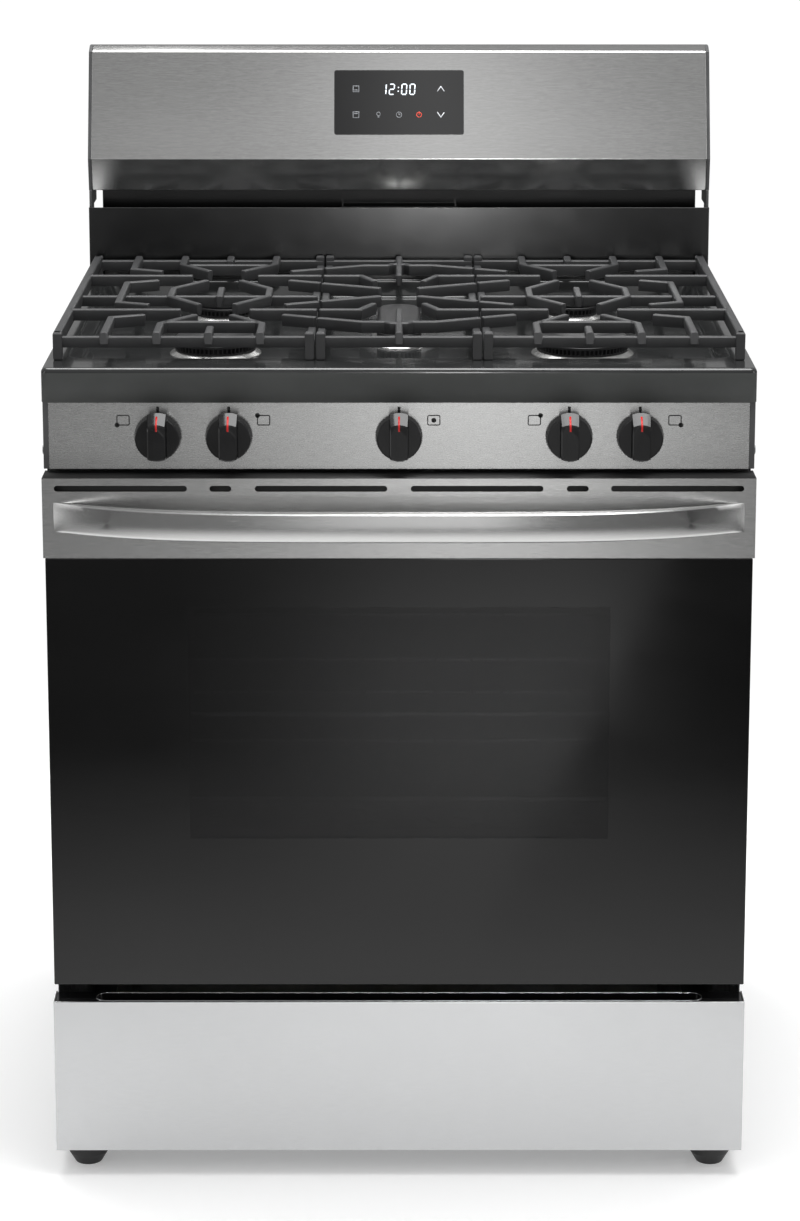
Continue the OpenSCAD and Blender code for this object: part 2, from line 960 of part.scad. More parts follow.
module door_liner() {
    liner_t = 2;
    liner_x = 350;
    gap_x = [bracket_x - bracket_slot / 2, bracket_x + bracket_slot / 2];
    color("#26282c") difference() {
        block([-liner_x, liner_x], [door_back_y - liner_t, door_back_y], [hinge_z + 4, door_split_z - 1]);
        block([-window_x, window_x], [door_back_y - liner_t - 1, door_back_y + 1], window_z);
        both_sides()
            block(gap_x, [door_back_y - liner_t - 1, door_back_y + 1], [hinge_z, hinge_z + 38]);
    }
}

module door_inner_glass() {
    pane_t = 4;
    edge = 10;
    color("#39403f")
        block(
            [-window_x - edge, window_x + edge],
            [door_back_y - 2 - pane_t, door_back_y - 2],
            [window_z[0] - edge, window_z[1] + edge]
        );
}

// ---------------------------------------------------------------- drawer

drawer_face_x = half_w - 1.5;
drawer_back_y = door_face_y + 20;
tray_x = 318;
tray_z = [56, 178];
tray_back_y = 235;
slide_z = [62, 76];

module drawer_front() {
    color("#b6b7b8") difference() {
        block(
            [-drawer_face_x, drawer_face_x],
            [door_face_y, drawer_back_y + 14],
            [drawer_z, drawer_top_z]
        );
        block(
            [sheet - drawer_face_x, drawer_face_x - sheet],
            [door_face_y + sheet, drawer_back_y + 15],
            [drawer_z + sheet, drawer_top_z + 1]
        );
        block(
            [-drawer_face_x - 1, drawer_face_x + 1],
            [drawer_back_y, drawer_back_y + 15],
            [drawer_z - 1, 150]
        );
    }
}

module drawer_box() {
    rail_w = 10;
    back_plate_x = drawer_face_x - 6;
    color("#8c8e8f") {
        difference() {
            union() {
                block([-tray_x, tray_x], [drawer_back_y, tray_back_y], tray_z);
                block(
                    [-back_plate_x, back_plate_x],
                    [drawer_back_y - sheet, drawer_back_y],
                    [drawer_z + 6, tray_z[1]]
                );
            }
            block(
                [sheet - tray_x, tray_x - sheet],
                [drawer_back_y, tray_back_y - sheet],
                [tray_z[0] + sheet, tray_z[1] + 1]
            );
        }
        both_sides()
            block([tray_x - 0.5, tray_x + rail_w], [drawer_back_y + 20, tray_back_y - 5], slide_z);
    }
}

module drawer_pull() {
    insert_x = drawer_face_x - sheet - 0.3;
    insert_y = [door_face_y + sheet, drawer_back_y + 13];
    insert_z = [drawer_top_z - 14, drawer_top_z - 1];
    scoop_x = 333;
    scoop_y = [insert_y[0] + 4, insert_y[1] - 4];
    scoop_r = (scoop_y[1] - scoop_y[0]) / 2;
    scoop_mid_y = (scoop_y[0] + scoop_y[1]) / 2;
    floor_t = 3;
    color("#0d0d0e") difference() {
        block([-insert_x, insert_x], insert_y, insert_z);
        block([scoop_r - scoop_x, scoop_x - scoop_r], scoop_y, [insert_z[0] + floor_t, insert_z[1] + 1]);
        both_sides()
            rod_z(scoop_r, scoop_x - scoop_r, scoop_mid_y, [insert_z[0] + floor_t, insert_z[1] + 1]);
    }
}

module drawer_tracks() {
    web_x = 334;
    flange = 8;
    track_t = 1.4;
    gap = 1;
    low_z = slide_z[0] - gap - track_t;
    top_z = slide_z[1] + gap + track_t;
    track_y = [drawer_back_y + 40, shell_back_y - 20];
    color("#b4b6b8") both_sides() {
        block([web_x - track_t, web_x], track_y, [low_z, top_z]);
        block([web_x - flange, web_x], track_y, [low_z, low_z + track_t]);
        block([web_x - flange, web_x], track_y, [top_z - track_t, top_z]);
    }
}

// ---------------------------------------------------------------- racks

module oven_rack(z) {
    side_rod_x = oven_x - 7;
    thin_r = 2.2;
    wire_count = 13;
    wire_pitch = 42;
    back_rod_y = rack_front_y + rack_l;
    color("#c8cacc") {
        both_sides() rod_y(wire_r, side_rod_x, [rack_front_y, back_rod_y], z);
        for (y = [rack_front_y, rack_front_y + 215, back_rod_y])
            rod_x(wire_r, [-side_rod_x, side_rod_x], y, z);
        for (i = [0:wire_count - 1])
            rod_y(
                thin_r,
                (i - (wire_count - 1) / 2) * wire_pitch,
                [rack_front_y - 1, back_rod_y + 1],
                z + 2
            );
        both_sides()
            for (y = [rack_front_y, back_rod_y])
                translate([side_rod_x, y, z]) sphere(r = wire_r);
    }
}

module oven_rack_lower() {
    oven_rack(lower_rack_z);
}

module oven_rack_upper() {
    oven_rack(lower_rack_z + 2 * rack_pitch);
}

// ---------------------------------------------------------------- grates

finger_z = [grate_z - finger_h, grate_z];
rail_z = [frame_low_z, frame_top_z];
post_z = [grate_foot_z, grate_z];
post_l = 11;
brace_z = [finger_z[0] - 7, finger_z[0] + 2];

// Points measured from the left burner pair's centre, for the front or the rear half
function pair_at(x, y, s) = [x - burner_x, grid_y + s * y];

module grate_front_and_back(x) {
    for (s = [-1, 1]) {
        end_y = grid_y + s * (grate_half_d - bar_w / 2);
        rail([[x[0], end_y], [x[1], end_y]], bar_w, rail_z);
    }
}

module post(x, s) {
    end_y = grid_y + s * grate_half_d;
    block([x - 5, x + 5], [min(end_y, end_y - s * post_l), max(end_y, end_y - s * post_l)], post_z);
}

// Left grate: a frame, a claw of fingers round each burner and a ring between them
module side_grate() {
    inner_x = -split_x - split_gap / 2;
    outer_x = -grate_x;
    outer_to = burner_x - grate_x;
    inner_to = burner_x + inner_x;
    end = grate_half_d - bar_w;
    bar_in = bar_w / 2;
    grate_front_and_back([outer_x, inner_x]);
    block(
        [outer_x, outer_x + bar_w + 1],
        [grid_y - grate_half_d, grid_y + grate_half_d],
        [frame_low_z, grate_z]
    );
    block([inner_x - bar_w - 1, inner_x], [grid_y - grate_half_d, grid_y + grate_half_d], brace_z);
    rail([[outer_x + 2, grid_y], [inner_x - 2, grid_y]], bar_w, rail_z);
    for (s = [-1, 1]) {
        post(outer_x + 5, s);
        post(inner_x - 5, s);
        rail([pair_at(outer_to + bar_in, burner_dy, s), pair_at(-claw_x, burner_dy, s)], bar_w, finger_z);
        rail([pair_at(claw_x, burner_dy, s), pair_at(inner_to, burner_dy, s)], bar_w, finger_z);
        for (m = [-1, 1])
            rail(
                [
                    pair_at(m * tip_x, burner_dy + tip_y, s),
                    pair_at(m * ring_x, burner_dy + 84, s),
                    pair_at(m * ring_x, end + 3, s),
                ],
                bar_w,
                finger_z
            );
        rail(
            [
                pair_at(-side_tip_x, burner_dy + tip_y, s),
                pair_at(-side_x, burner_dy + tip_y + 16, s),
                pair_at(-side_x, end + 3, s),
            ],
            bar_w,
            finger_z
        );
        rail(
            [pair_at(-ring_x + 3, burner_dy + 76, s), pair_at(ring_x - 3, burner_dy + 76, s)],
            bar_w,
            finger_z
        );
        rail([pair_at(0, burner_dy + 103, s), pair_at(0, end + 3, s)], bar_w, finger_z);
        rail(
            [pair_at(side_tip_x, burner_dy + tip_y, s), pair_at(inner_to, burner_dy + tip_y + 17.5, s)],
            bar_w,
            finger_z
        );
        rail(
            [pair_at(side_tip_x, burner_dy - tip_y, s), pair_at(inner_to, burner_dy - tip_y - 18.5, s)],
            bar_w,
            finger_z
        );
    }
    for (m = [-1, 1])
        rail(
            [
                pair_at(m * tip_x, burner_dy - tip_y, -1),
                pair_at(m * ring_x, ring_y, -1),
                pair_at(m * ring_x, ring_y, 1),
                pair_at(m * tip_x, burner_dy - tip_y, 1),
            ],
            bar_w,
            finger_z
        );
    rail(
        [
            pair_at(-side_tip_x, burner_dy - tip_y, -1),
            pair_at(-side_x, burner_dy - tip_y - 16, -1),
            pair_at(-side_x, burner_dy - tip_y - 16, 1),
            pair_at(-side_tip_x, burner_dy - tip_y, 1),
        ],
        bar_w,
        finger_z
    );
    rail([pair_at(0, 31, -1), pair_at(0, 31, 1)], bar_w, finger_z);
}

// The part of the grates that lies between two places across the width
module grate_section(x) {
    intersection() {
        children();
        block(x, [grid_y - grate_half_d, grid_y + grate_half_d], post_z);
    }
}

module grate_left() {
    color("#3c3d3e") grate_section([-grate_x, -split_x - split_gap / 2]) side_grate();
}

module grate_right() {
    color("#3c3d3e") mirror([1, 0, 0]) grate_section([-grate_x, -split_x - split_gap / 2]) side_grate();
}

module grate_middle() {
    edge_x = split_x - split_gap / 2;
    shelf_y = burner_dy + tip_y + 43;
    color("#3c3d3e") grate_section([-edge_x, edge_x]) {
        grate_front_and_back([-edge_x, edge_x]);
        both_sides() {
            block(
                [edge_x - bar_w - 1, edge_x],
                [grid_y - grate_half_d, grid_y + grate_half_d],
                brace_z
            );
            for (s = [-1, 1]) {
                post(edge_x - 5, s);
                rail(
                    [
                        [-edge_x, grid_y + s * burner_dy],
                        [-44, grid_y + s * burner_dy],
                        [-28, grid_y + s * (burner_dy - 39)],
                    ],
                    bar_w,
                    finger_z
                );
                rail(
                    [[-edge_x, grid_y + s * (burner_dy - tip_y - 21)], [-21, grid_y + s * 26]],
                    bar_w,
                    finger_z
                );
                rail(
                    [
                        [-edge_x, grid_y + s * (burner_dy + tip_y + 20)],
                        [-40, grid_y + s * shelf_y],
                        [-14, grid_y + s * shelf_y],
                        [-8, grid_y + s * (shelf_y + 8)],
                        [0.5, grid_y + s * (shelf_y + 8)],
                    ],
                    bar_w,
                    finger_z
                );
            }
        }
        for (s = [-1, 1])
            rail(
                [[0, grid_y + s * (burner_dy - 1)], [0, grid_y + s * (grate_half_d - bar_w + 3)]],
                bar_w - 1,
                finger_z
            );
    }
}

side_panel_left();
side_panel_right();
back_panel();
base_frame();
levelling_feet();
front_frame();
oven_liner();
oven_insulation();
oven_floor();
bake_burner();
broil_burner();
oven_igniters();
oven_lamp();
door_gasket();
hinge_brackets();
cooktop();
burner_heads();
spark_electrodes();
burner_tubes();
gas_manifold();
gas_valves();
control_panel();
end_caps();
side_screws();
backguard_panel();
flue_duct();
console_shell();
console_cover();
touch_glass();
power_gland();
drawer_tracks();
door_glass();
door_steel_strip();
door_handle();
door_frame();
door_liner();
door_inner_glass();
drawer_front();
drawer_box();
drawer_pull();
oven_rack_upper();
oven_rack_lower();
grate_left();
grate_middle();
grate_right();
cap_front_left();
cap_rear_left();
cap_front_right();
cap_rear_right();
cap_middle();
valve_stem_1();
valve_stem_2();
valve_stem_3();
valve_stem_4();
valve_stem_5();
knob_1();
knob_2();
knob_3();
knob_4();
knob_5();
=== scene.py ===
"""Looks of a freestanding gas range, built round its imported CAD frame.

Lengths in the tables are millimetres in the frame's axes: +X right, +Y back, +Z up.
"""
import math

import bmesh
import bpy
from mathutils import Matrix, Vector


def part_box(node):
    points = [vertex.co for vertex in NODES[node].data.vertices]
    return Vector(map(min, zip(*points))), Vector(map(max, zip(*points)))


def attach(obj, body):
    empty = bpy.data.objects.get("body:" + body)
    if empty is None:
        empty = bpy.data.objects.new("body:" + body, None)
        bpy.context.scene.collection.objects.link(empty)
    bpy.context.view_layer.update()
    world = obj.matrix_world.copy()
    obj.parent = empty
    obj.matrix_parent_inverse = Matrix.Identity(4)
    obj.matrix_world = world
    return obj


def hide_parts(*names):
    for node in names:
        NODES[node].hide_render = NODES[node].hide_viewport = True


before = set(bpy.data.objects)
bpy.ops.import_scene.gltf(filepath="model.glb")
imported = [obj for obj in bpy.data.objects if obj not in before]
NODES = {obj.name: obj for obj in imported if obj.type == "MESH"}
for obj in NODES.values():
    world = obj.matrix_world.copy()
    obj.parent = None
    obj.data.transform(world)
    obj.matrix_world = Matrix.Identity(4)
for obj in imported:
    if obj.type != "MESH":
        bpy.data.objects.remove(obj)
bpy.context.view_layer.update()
MM = 0.001


def mm_box(node):
    """Lowest and highest corners of a CAD node, in millimetres."""
    low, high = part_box(node)
    return low / MM, high / MM


# ---------------------------------------------------------------- materials

class Tree:
    """A node tree, built from nothing."""

    def __init__(self, tree):
        self.tree = tree
        tree.nodes.clear()

    def node(self, kind, inputs=None, **settings):
        made = self.tree.nodes.new("ShaderNode" + kind)
        for key, value in settings.items():
            setattr(made, key, value)
        for key, value in (inputs or {}).items():
            self.put(made.inputs[key], value)
        return made

    def put(self, socket, value):
        if isinstance(value, bpy.types.NodeSocket):
            self.tree.links.new(value, socket)
        else:
            socket.default_value = value

    def ramp(self, value, stops):
        """Colours at positions along a value; a bare number stands for a grey."""
        made = self.node("ValToRGB", {0: value})
        elements = made.color_ramp.elements
        while len(elements) < len(stops):
            elements.new(0.5)
        for element, (position, colour) in zip(elements, stops):
            element.position = position
            element.color = grey(colour) if isinstance(colour, (int, float)) else (*colour, 1)
        return made.outputs[0]

    def span(self, value, low, high, source=(0.3, 0.7)):
        """Maps the source range onto low to high."""
        limits = {"From Min": source[0], "From Max": source[1], "To Min": low, "To Max": high}
        return self.node("MapRange", {"Value": value, **limits}).outputs[0]

    def maths(self, operation, a, b=0.0):
        return self.node("Math", {0: a, 1: b}, operation=operation).outputs[0]

    def mix(self, factor, a, b):
        made = self.node("Mix", data_type="RGBA")
        # the colour sockets of a Mix node share their names with its others, so they go by number
        for index, value in ((0, factor), (6, a), (7, b)):
            self.put(made.inputs[index], value)
        return made.outputs[2]

    def bump(self, height, strength, depth, below=None):
        inputs = {"Height": height, "Strength": strength, "Distance": depth}
        if below is not None:
            inputs["Normal"] = below
        return self.node("Bump", inputs).outputs[0]


class Graph(Tree):
    """One material's nodes, with its Principled shader."""

    def __init__(self, name, **constants):
        self.material = bpy.data.materials.new(name)
        self.material.use_nodes = True
        super().__init__(self.material.node_tree)
        self.shader = self.node("BsdfPrincipled")
        self.put(self.node("OutputMaterial").inputs[0], self.shader.outputs[0])
        self.place = self.node("TexCoord").outputs["Object"]
        for key, value in constants.items():
            self.shader.inputs[key.replace("_", " ")].default_value = value

    def set(self, socket, value):
        self.put(self.shader.inputs[socket], value)

    def noise(self, scale, stretch=(1, 1, 1), detail=3.0, rough=0.5):
        place = self.node("Mapping", {"Vector": self.place, "Scale": stretch}).outputs[0]
        inputs = {"Vector": place, "Scale": scale, "Detail": detail, "Roughness": rough}
        return self.node("TexNoise", inputs).outputs[0]

    def cells(self, scale):
        return self.node("TexVoronoi", {"Vector": self.place, "Scale": scale}).outputs[0]


def grey(value):
    return (value, value, value, 1)


def scaled(tone, factor):
    """A colour made lighter or darker."""
    return [min(1.0, c * factor) for c in tone]


FINE_SCRATCH = (170, 2400, 2400)
COARSE_SCRATCH = (60, 800, 800)


def brushed_steel(name, tone, rough, grain=(1, 1, 1), contrast=1.0, spread=0.7):
    """Metal with fine scratches along X; grain stretches them, and spread draws reflections out across them."""
    g = Graph(name, Metallic=1.0, Anisotropic=spread)
    fine = g.noise(1.0, [s * k for s, k in zip(FINE_SCRATCH, grain)], 2.0, 0.6)
    coarse = g.noise(1.0, [s * k for s, k in zip(COARSE_SCRATCH, grain)], 2.0, 0.55)
    cloud = g.noise(7.0, detail=2.0)
    streak = g.maths("ADD", g.maths("MULTIPLY", fine, 0.6), g.maths("MULTIPLY", coarse, 0.4))
    half = 0.16 * contrast
    colour = g.ramp(streak, [(0.4, scaled(tone, 1 - half)), (0.6, scaled(tone, 1 + half))])
    g.set("Base Color", g.mix(g.span(cloud, 0.0, 0.12), colour, (*scaled(tone, 0.82), 1)))
    g.set("Roughness", g.span(streak, rough * 0.9, rough * 1.1))
    g.set("Normal", g.bump(streak, 0.03 * contrast, 0.00004))
    g.set("Tangent", g.node("Tangent", direction_type="RADIAL", axis="X").outputs[0])
    return g.material


def plated_steel(name, tone, rough, flake=70.0):
    """Zinc-plated or galvanised sheet with a faint crystal pattern."""
    g = Graph(name, Metallic=0.9)
    cell = g.cells(flake)
    dirt = g.noise(9.0, detail=4.0)
    colour = g.ramp(cell, [(0.0, scaled(tone, 1.12)), (0.6, tone), (1.0, scaled(tone, 0.85))])
    g.set("Base Color", g.mix(g.span(dirt, 0.0, 0.25), colour, (*scaled(tone, 0.6), 1)))
    g.set("Roughness", g.span(dirt, rough * 0.8, rough * 1.25))
    g.set("Normal", g.bump(g.noise(900.0, detail=2.0), 0.12, 0.0002))
    return g.material


def enamel(name, tone, rough, speck, coat, uneven=0.25):
    """Fired enamel: a skin with orange peel and pale specks, which are faint where speck is 0."""
    g = Graph(name, Coat_Weight=coat, Coat_Roughness=0.06)
    cloud = g.noise(16.0, detail=3.0)
    colour = g.ramp(cloud, [(0.3, scaled(tone, 0.9)), (0.7, scaled(tone, 1.08))])
    fleck = g.span(g.noise(1500.0, detail=1.0), 0.0, 1.0, (0.64, 0.7))
    pale = [min(1.0, c * (1.5 + 4 * speck) + 0.1 * speck) for c in tone]
    g.set("Base Color", g.mix(g.maths("MULTIPLY", fleck, 0.25 + 0.6 * speck), colour, (*pale, 1)))
    g.set("Roughness", g.span(g.noise(40.0), rough * (1 - uneven), rough * (1 + uneven)))
    g.set("Normal", g.bump(g.noise(260.0, detail=1.0), 0.03, 0.0004))
    return g.material


def cast_iron(name, tone, rough=0.55, grain=1.0):
    """Sand-cast iron under a thin matt enamel."""
    g = Graph(name, Specular_IOR_Level=0.55)
    pits = g.noise(1100.0, detail=3.0, rough=0.65)
    cloud = g.noise(30.0, detail=4.0)
    colour = g.ramp(cloud, [(0.3, scaled(tone, 0.82)), (0.7, scaled(tone, 1.15))])
    g.set("Base Color", g.mix(g.span(pits, 0.0, 0.35, (0.55, 0.7)), colour, (*scaled(tone, 1.8), 1)))
    g.set("Roughness", g.span(pits, rough * 0.85, min(1.0, rough * 1.2)))
    g.set("Normal", g.bump(pits, 0.35 * grain, 0.0004, g.bump(g.noise(220.0), 0.25 * grain, 0.0006)))
    return g.material


def plastic(name, tone, rough, grain=700.0, strength=0.1, coat=0.0):
    """Moulded plastic with a fine spark-eroded grain."""
    g = Graph(name, Coat_Weight=coat, Coat_Roughness=0.08)
    skin = g.noise(grain, detail=2.0)
    wear = g.noise(22.0, detail=3.0)
    g.set("Base Color", g.ramp(wear, [(0.3, scaled(tone, 0.85)), (0.7, scaled(tone, 1.2))]))
    g.set("Roughness", g.span(wear, rough * 0.85, rough * 1.2))
    g.set("Normal", g.bump(skin, strength, 0.0002))
    return g.material


def oven_door_glass(name, window, tone=0.0075):
    """Black-printed glass whose middle is a dark see-through window with a fine printed screen.

    The window is its half width, lower edge and upper edge, in metres.
    """
    g = Graph(name, IOR=1.5, Specular_IOR_Level=0.36)
    x, _, z = (g.node("SeparateXYZ", {0: g.place}).outputs[i] for i in range(3))
    half, low, high = window
    blur = 0.0006

    def below(value, limit):
        return g.span(value, 1.0, 0.0, (limit - blur, limit + blur))

    upright = g.maths("MULTIPLY", g.span(z, 0.0, 1.0, (low - blur, low + blur)), below(z, high))
    inside = g.maths("MULTIPLY", below(g.maths("ABSOLUTE", x), half), upright)
    wave = {"Vector": g.place, "Scale": 95.0, "Distortion": 0.0}
    lines = g.node("TexWave", wave, bands_direction="Z").outputs[1]
    smear = g.noise(5.0, (1, 1, 2.5), 3.0)
    printed = g.ramp(smear, [(0.3, tone * 0.9), (0.7, tone * 1.2)])
    screen = g.ramp(lines, [(0.2, tone * 1.5), (0.8, tone * 2.3)])
    g.set("Base Color", g.mix(inside, printed, screen))
    g.set("Alpha", g.span(inside, 1.0, 0.62, (0.0, 1.0)))
    g.set("Roughness", g.span(smear, 0.03, 0.075))
    g.set("Normal", g.bump(g.noise(3.0, detail=1.0), 0.012, 0.002))
    return g.material


def clear_glass(name, tint, alpha):
    """Thin glass with a faint smear."""
    g = Graph(name, IOR=1.5)
    smear = g.noise(12.0, detail=3.0)
    g.set("Base Color", g.ramp(smear, [(0.3, tint), (0.7, scaled(tint, 0.8))]))
    g.set("Alpha", g.span(smear, alpha * 0.85, alpha * 1.15))
    g.set("Roughness", g.span(smear, 0.03, 0.09))
    return g.material


def woven(name, tone, pitch):
    """Braided glass-fibre rope or glass wool."""
    g = Graph(name, Sheen_Weight=0.3)
    wave = {"Vector": g.place, "Scale": pitch, "Distortion": 4.0, "Detail": 3.0}
    strands = g.node("TexWave", wave).outputs[1]
    g.set("Base Color", g.ramp(strands, [(0.0, scaled(tone, 0.55)), (0.6, tone), (1.0, scaled(tone, 1.25))]))
    g.set("Roughness", g.span(strands, 0.85, 1.0, (0, 1)))
    g.set("Normal", g.bump(g.noise(600.0, detail=4.0), 0.5, 0.0008, g.bump(strands, 0.6, 0.001)))
    return g.material


def lit_mark(name, colour, strength):
    """A glowing segment behind black glass, softly uneven as a lit panel is."""
    g = Graph(name, Emission_Strength=strength)
    glow = g.noise(180.0, detail=2.0)
    g.set("Base Color", g.ramp(glow, [(0.3, scaled(colour, 0.5)), (0.7, colour)]))
    g.set("Emission Color", g.ramp(glow, [(0.3, scaled(colour, 0.86)), (0.7, colour)]))
    g.set("Roughness", g.span(glow, 0.25, 0.4))
    return g.material


STEEL = (0.56, 0.56, 0.555)
PANEL_STEEL = (0.50, 0.50, 0.495)
M = {
    "console": brushed_steel("brushed_console", STEEL, 0.15, contrast=0.45, spread=0.3),
    "panel": brushed_steel("brushed_panel", PANEL_STEEL, 0.27, contrast=0.6, spread=0.8),
    "strip": brushed_steel("brushed_strip", PANEL_STEEL, 0.23, contrast=0.6, spread=0.8),
    "drawer": brushed_steel("brushed_drawer", (0.535, 0.54, 0.545), 0.24, contrast=0.3, spread=0.85),
    "handle": brushed_steel("satin_handle", (0.60, 0.60, 0.595), 0.25, contrast=0.3),
    "chrome": brushed_steel("chrome_wire", (0.62, 0.63, 0.65), 0.16, contrast=0.3, spread=0.0),
    "turned": brushed_steel("turned_steel", (0.55, 0.55, 0.56), 0.28, (60, 0.3, 1), 0.6),
    "plated": plated_steel("galvanised_sheet", (0.46, 0.47, 0.48), 0.42),
    "zinc": plated_steel("zinc_plate", (0.55, 0.56, 0.57), 0.34, 240.0),
    "pipe": plated_steel("dark_pipe", (0.16, 0.165, 0.17), 0.45, 300.0),
    "screw": plated_steel("screw_plate", (0.30, 0.305, 0.31), 0.35, 500.0),
    "brass": plated_steel("cast_brass", (0.60, 0.46, 0.22), 0.36, 320.0),
    "apron": enamel("apron_enamel", (0.068, 0.0715, 0.0695), 0.6, 0.0, 0.0, 0.1),
    "deck": enamel("deck_enamel", (0.022, 0.023, 0.0232), 0.16, 0.0, 0.5),
    "guard": enamel("backguard_enamel", (0.0015, 0.0016, 0.0017), 0.215, 0.0, 0.0, 0.04),
    "side": enamel("side_enamel", (0.020, 0.021, 0.022), 0.34, 0.0, 0.15),
    "liner": enamel("oven_enamel", (0.034, 0.037, 0.046), 0.24, 0.9, 0.4),
    "frame": enamel("frame_paint", (0.045, 0.046, 0.048), 0.38, 0.0, 0.1),
    "grate": cast_iron("grate_iron", (0.040, 0.0405, 0.042), 0.45, 0.5),
    "cap": cast_iron("cap_iron", (0.020, 0.020, 0.021), 0.42, 0.6),
    "head": cast_iron("burner_ring", (0.016, 0.016, 0.017), 0.45, 0.5),
    "alloy": plated_steel("cast_aluminium", (0.74, 0.74, 0.73), 0.26, 160.0),
    "knob": plastic("knob_plastic", (0.0095, 0.0095, 0.010), 0.14, strength=0.03),
    "trim": plastic("trim_paint", (0.085, 0.086, 0.088), 0.34, strength=0.06),
    "pull": plastic("pull_gloss", (0.0075, 0.0075, 0.008), 0.12, strength=0.03, coat=0.5),
    "rubber": plastic("foot_rubber", (0.014, 0.014, 0.0145), 0.55, 500.0, 0.3),
    "ceramic": plastic("white_ceramic", (0.80, 0.77, 0.70), 0.30, strength=0.05),
    "igniter": plastic("silicon_carbide", (0.11, 0.11, 0.12), 0.8, 900.0, 0.6),
    "red": plastic("red_paint", (0.72, 0.018, 0.016), 0.32, strength=0.03),
    "ink": plastic("black_ink", (0.012, 0.012, 0.012), 0.5, strength=0.02),
    "rope": woven("glass_fibre_rope", (0.16, 0.155, 0.145), 260.0),
    "wool": woven("glass_wool", (0.62, 0.50, 0.22), 60.0),
    "touch": plastic("touch_glass_black", (0.0055, 0.0055, 0.006), 0.06, 30.0, 0.01, 0.3),
    "white_light": lit_mark("lit_white", (0.86, 0.93, 1.0), 1.6),
    "mid_light": lit_mark("lit_pale", (0.70, 0.72, 0.75), 0.75),
    "dim_light": lit_mark("lit_grey", (0.50, 0.52, 0.55), 0.32),
    "red_light": lit_mark("lit_red", (0.90, 0.10, 0.06), 0.8),
    "lamp": clear_glass("lamp_glass", (0.85, 0.84, 0.80), 0.5),
    "pane": clear_glass("inner_pane", (0.05, 0.055, 0.055), 0.22),
    "door": oven_door_glass("door_glass_black", (0.226, 0.392, 0.651)),
}

NODE_LOOKS = {
    "side_panel_left": "side", "side_panel_right": "side", "back_panel": "plated", "base_frame": "frame",
    "front_frame": "frame", "oven_liner": "liner", "oven_insulation": "wool", "oven_floor": "liner",
    "bake_burner": "zinc", "broil_burner": "zinc", "oven_igniters": "igniter", "oven_lamp": "lamp",
    "hinge_brackets": "zinc", "burner_tubes": "alloy", "gas_manifold": "pipe", "gas_valves": "brass",
    "control_panel": "panel", "end_caps": "trim", "side_screws": "screw", "backguard_panel": "guard",
    "flue_duct": "guard", "console_cover": "plated", "touch_glass": "touch", "power_gland": "rubber",
    "drawer_tracks": "zinc", "door_glass": "door", "door_steel_strip": "strip", "door_frame": "frame",
    "door_liner": "liner", "door_inner_glass": "pane", "drawer_front": "drawer", "drawer_box": "plated",
    "drawer_pull": "pull", "oven_rack_upper": "chrome", "oven_rack_lower": "chrome",
    "levelling_feet": "rubber", "spark_electrodes": "ceramic", "door_gasket": "rope",
}
NODE_LOOKS.update({f"valve_stem_{i}": "turned" for i in range(1, 6)})


# ---------------------------------------------------------------- mesh helpers

def clean_group():
    """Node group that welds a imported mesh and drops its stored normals, so that a bevel can follow."""
    group = bpy.data.node_groups.new("clean_mesh", "GeometryNodeTree")
    group.interface.new_socket("Geometry", in_out="INPUT", socket_type="NodeSocketGeometry")
    group.interface.new_socket("Geometry", in_out="OUTPUT", socket_type="NodeSocketGeometry")
    start = group.nodes.new("NodeGroupInput")
    weld = group.nodes.new("GeometryNodeMergeByDistance")
    weld.inputs["Distance"].default_value = 1e-5
    normal = group.nodes.new("GeometryNodeSetMeshNormal")
    normal.mode = "SHARPNESS"
    normal.inputs["Remove Custom"].default_value = True
    smooth = group.nodes.new("GeometryNodeSetShadeSmooth")
    end = group.nodes.new("NodeGroupOutput")
    chain = (start, weld, normal, smooth, end)
    for a, b in zip(chain, chain[1:]):
        group.links.new(a.outputs[0], b.inputs[0])
    return group


CLEAN = clean_group()


def soften(obj, width, segments, angle=28, welded=False):
    """Rounds an object's sharp edges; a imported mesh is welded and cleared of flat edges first."""
    if not welded:
        obj.modifiers.new("clean", "NODES").node_group = CLEAN
        flat = obj.modifiers.new("flat", "DECIMATE")
        flat.decimate_type = "DISSOLVE"
        flat.angle_limit = math.radians(1)
    bevel = obj.modifiers.new("bevel", "BEVEL")
    bevel.width = width * MM
    bevel.segments = segments
    bevel.limit_method = "ANGLE"
    bevel.angle_limit = math.radians(angle)
    bevel.miter_outer = "MITER_ARC"
    obj.modifiers.new("even", "WEIGHTED_NORMAL").weight = 80


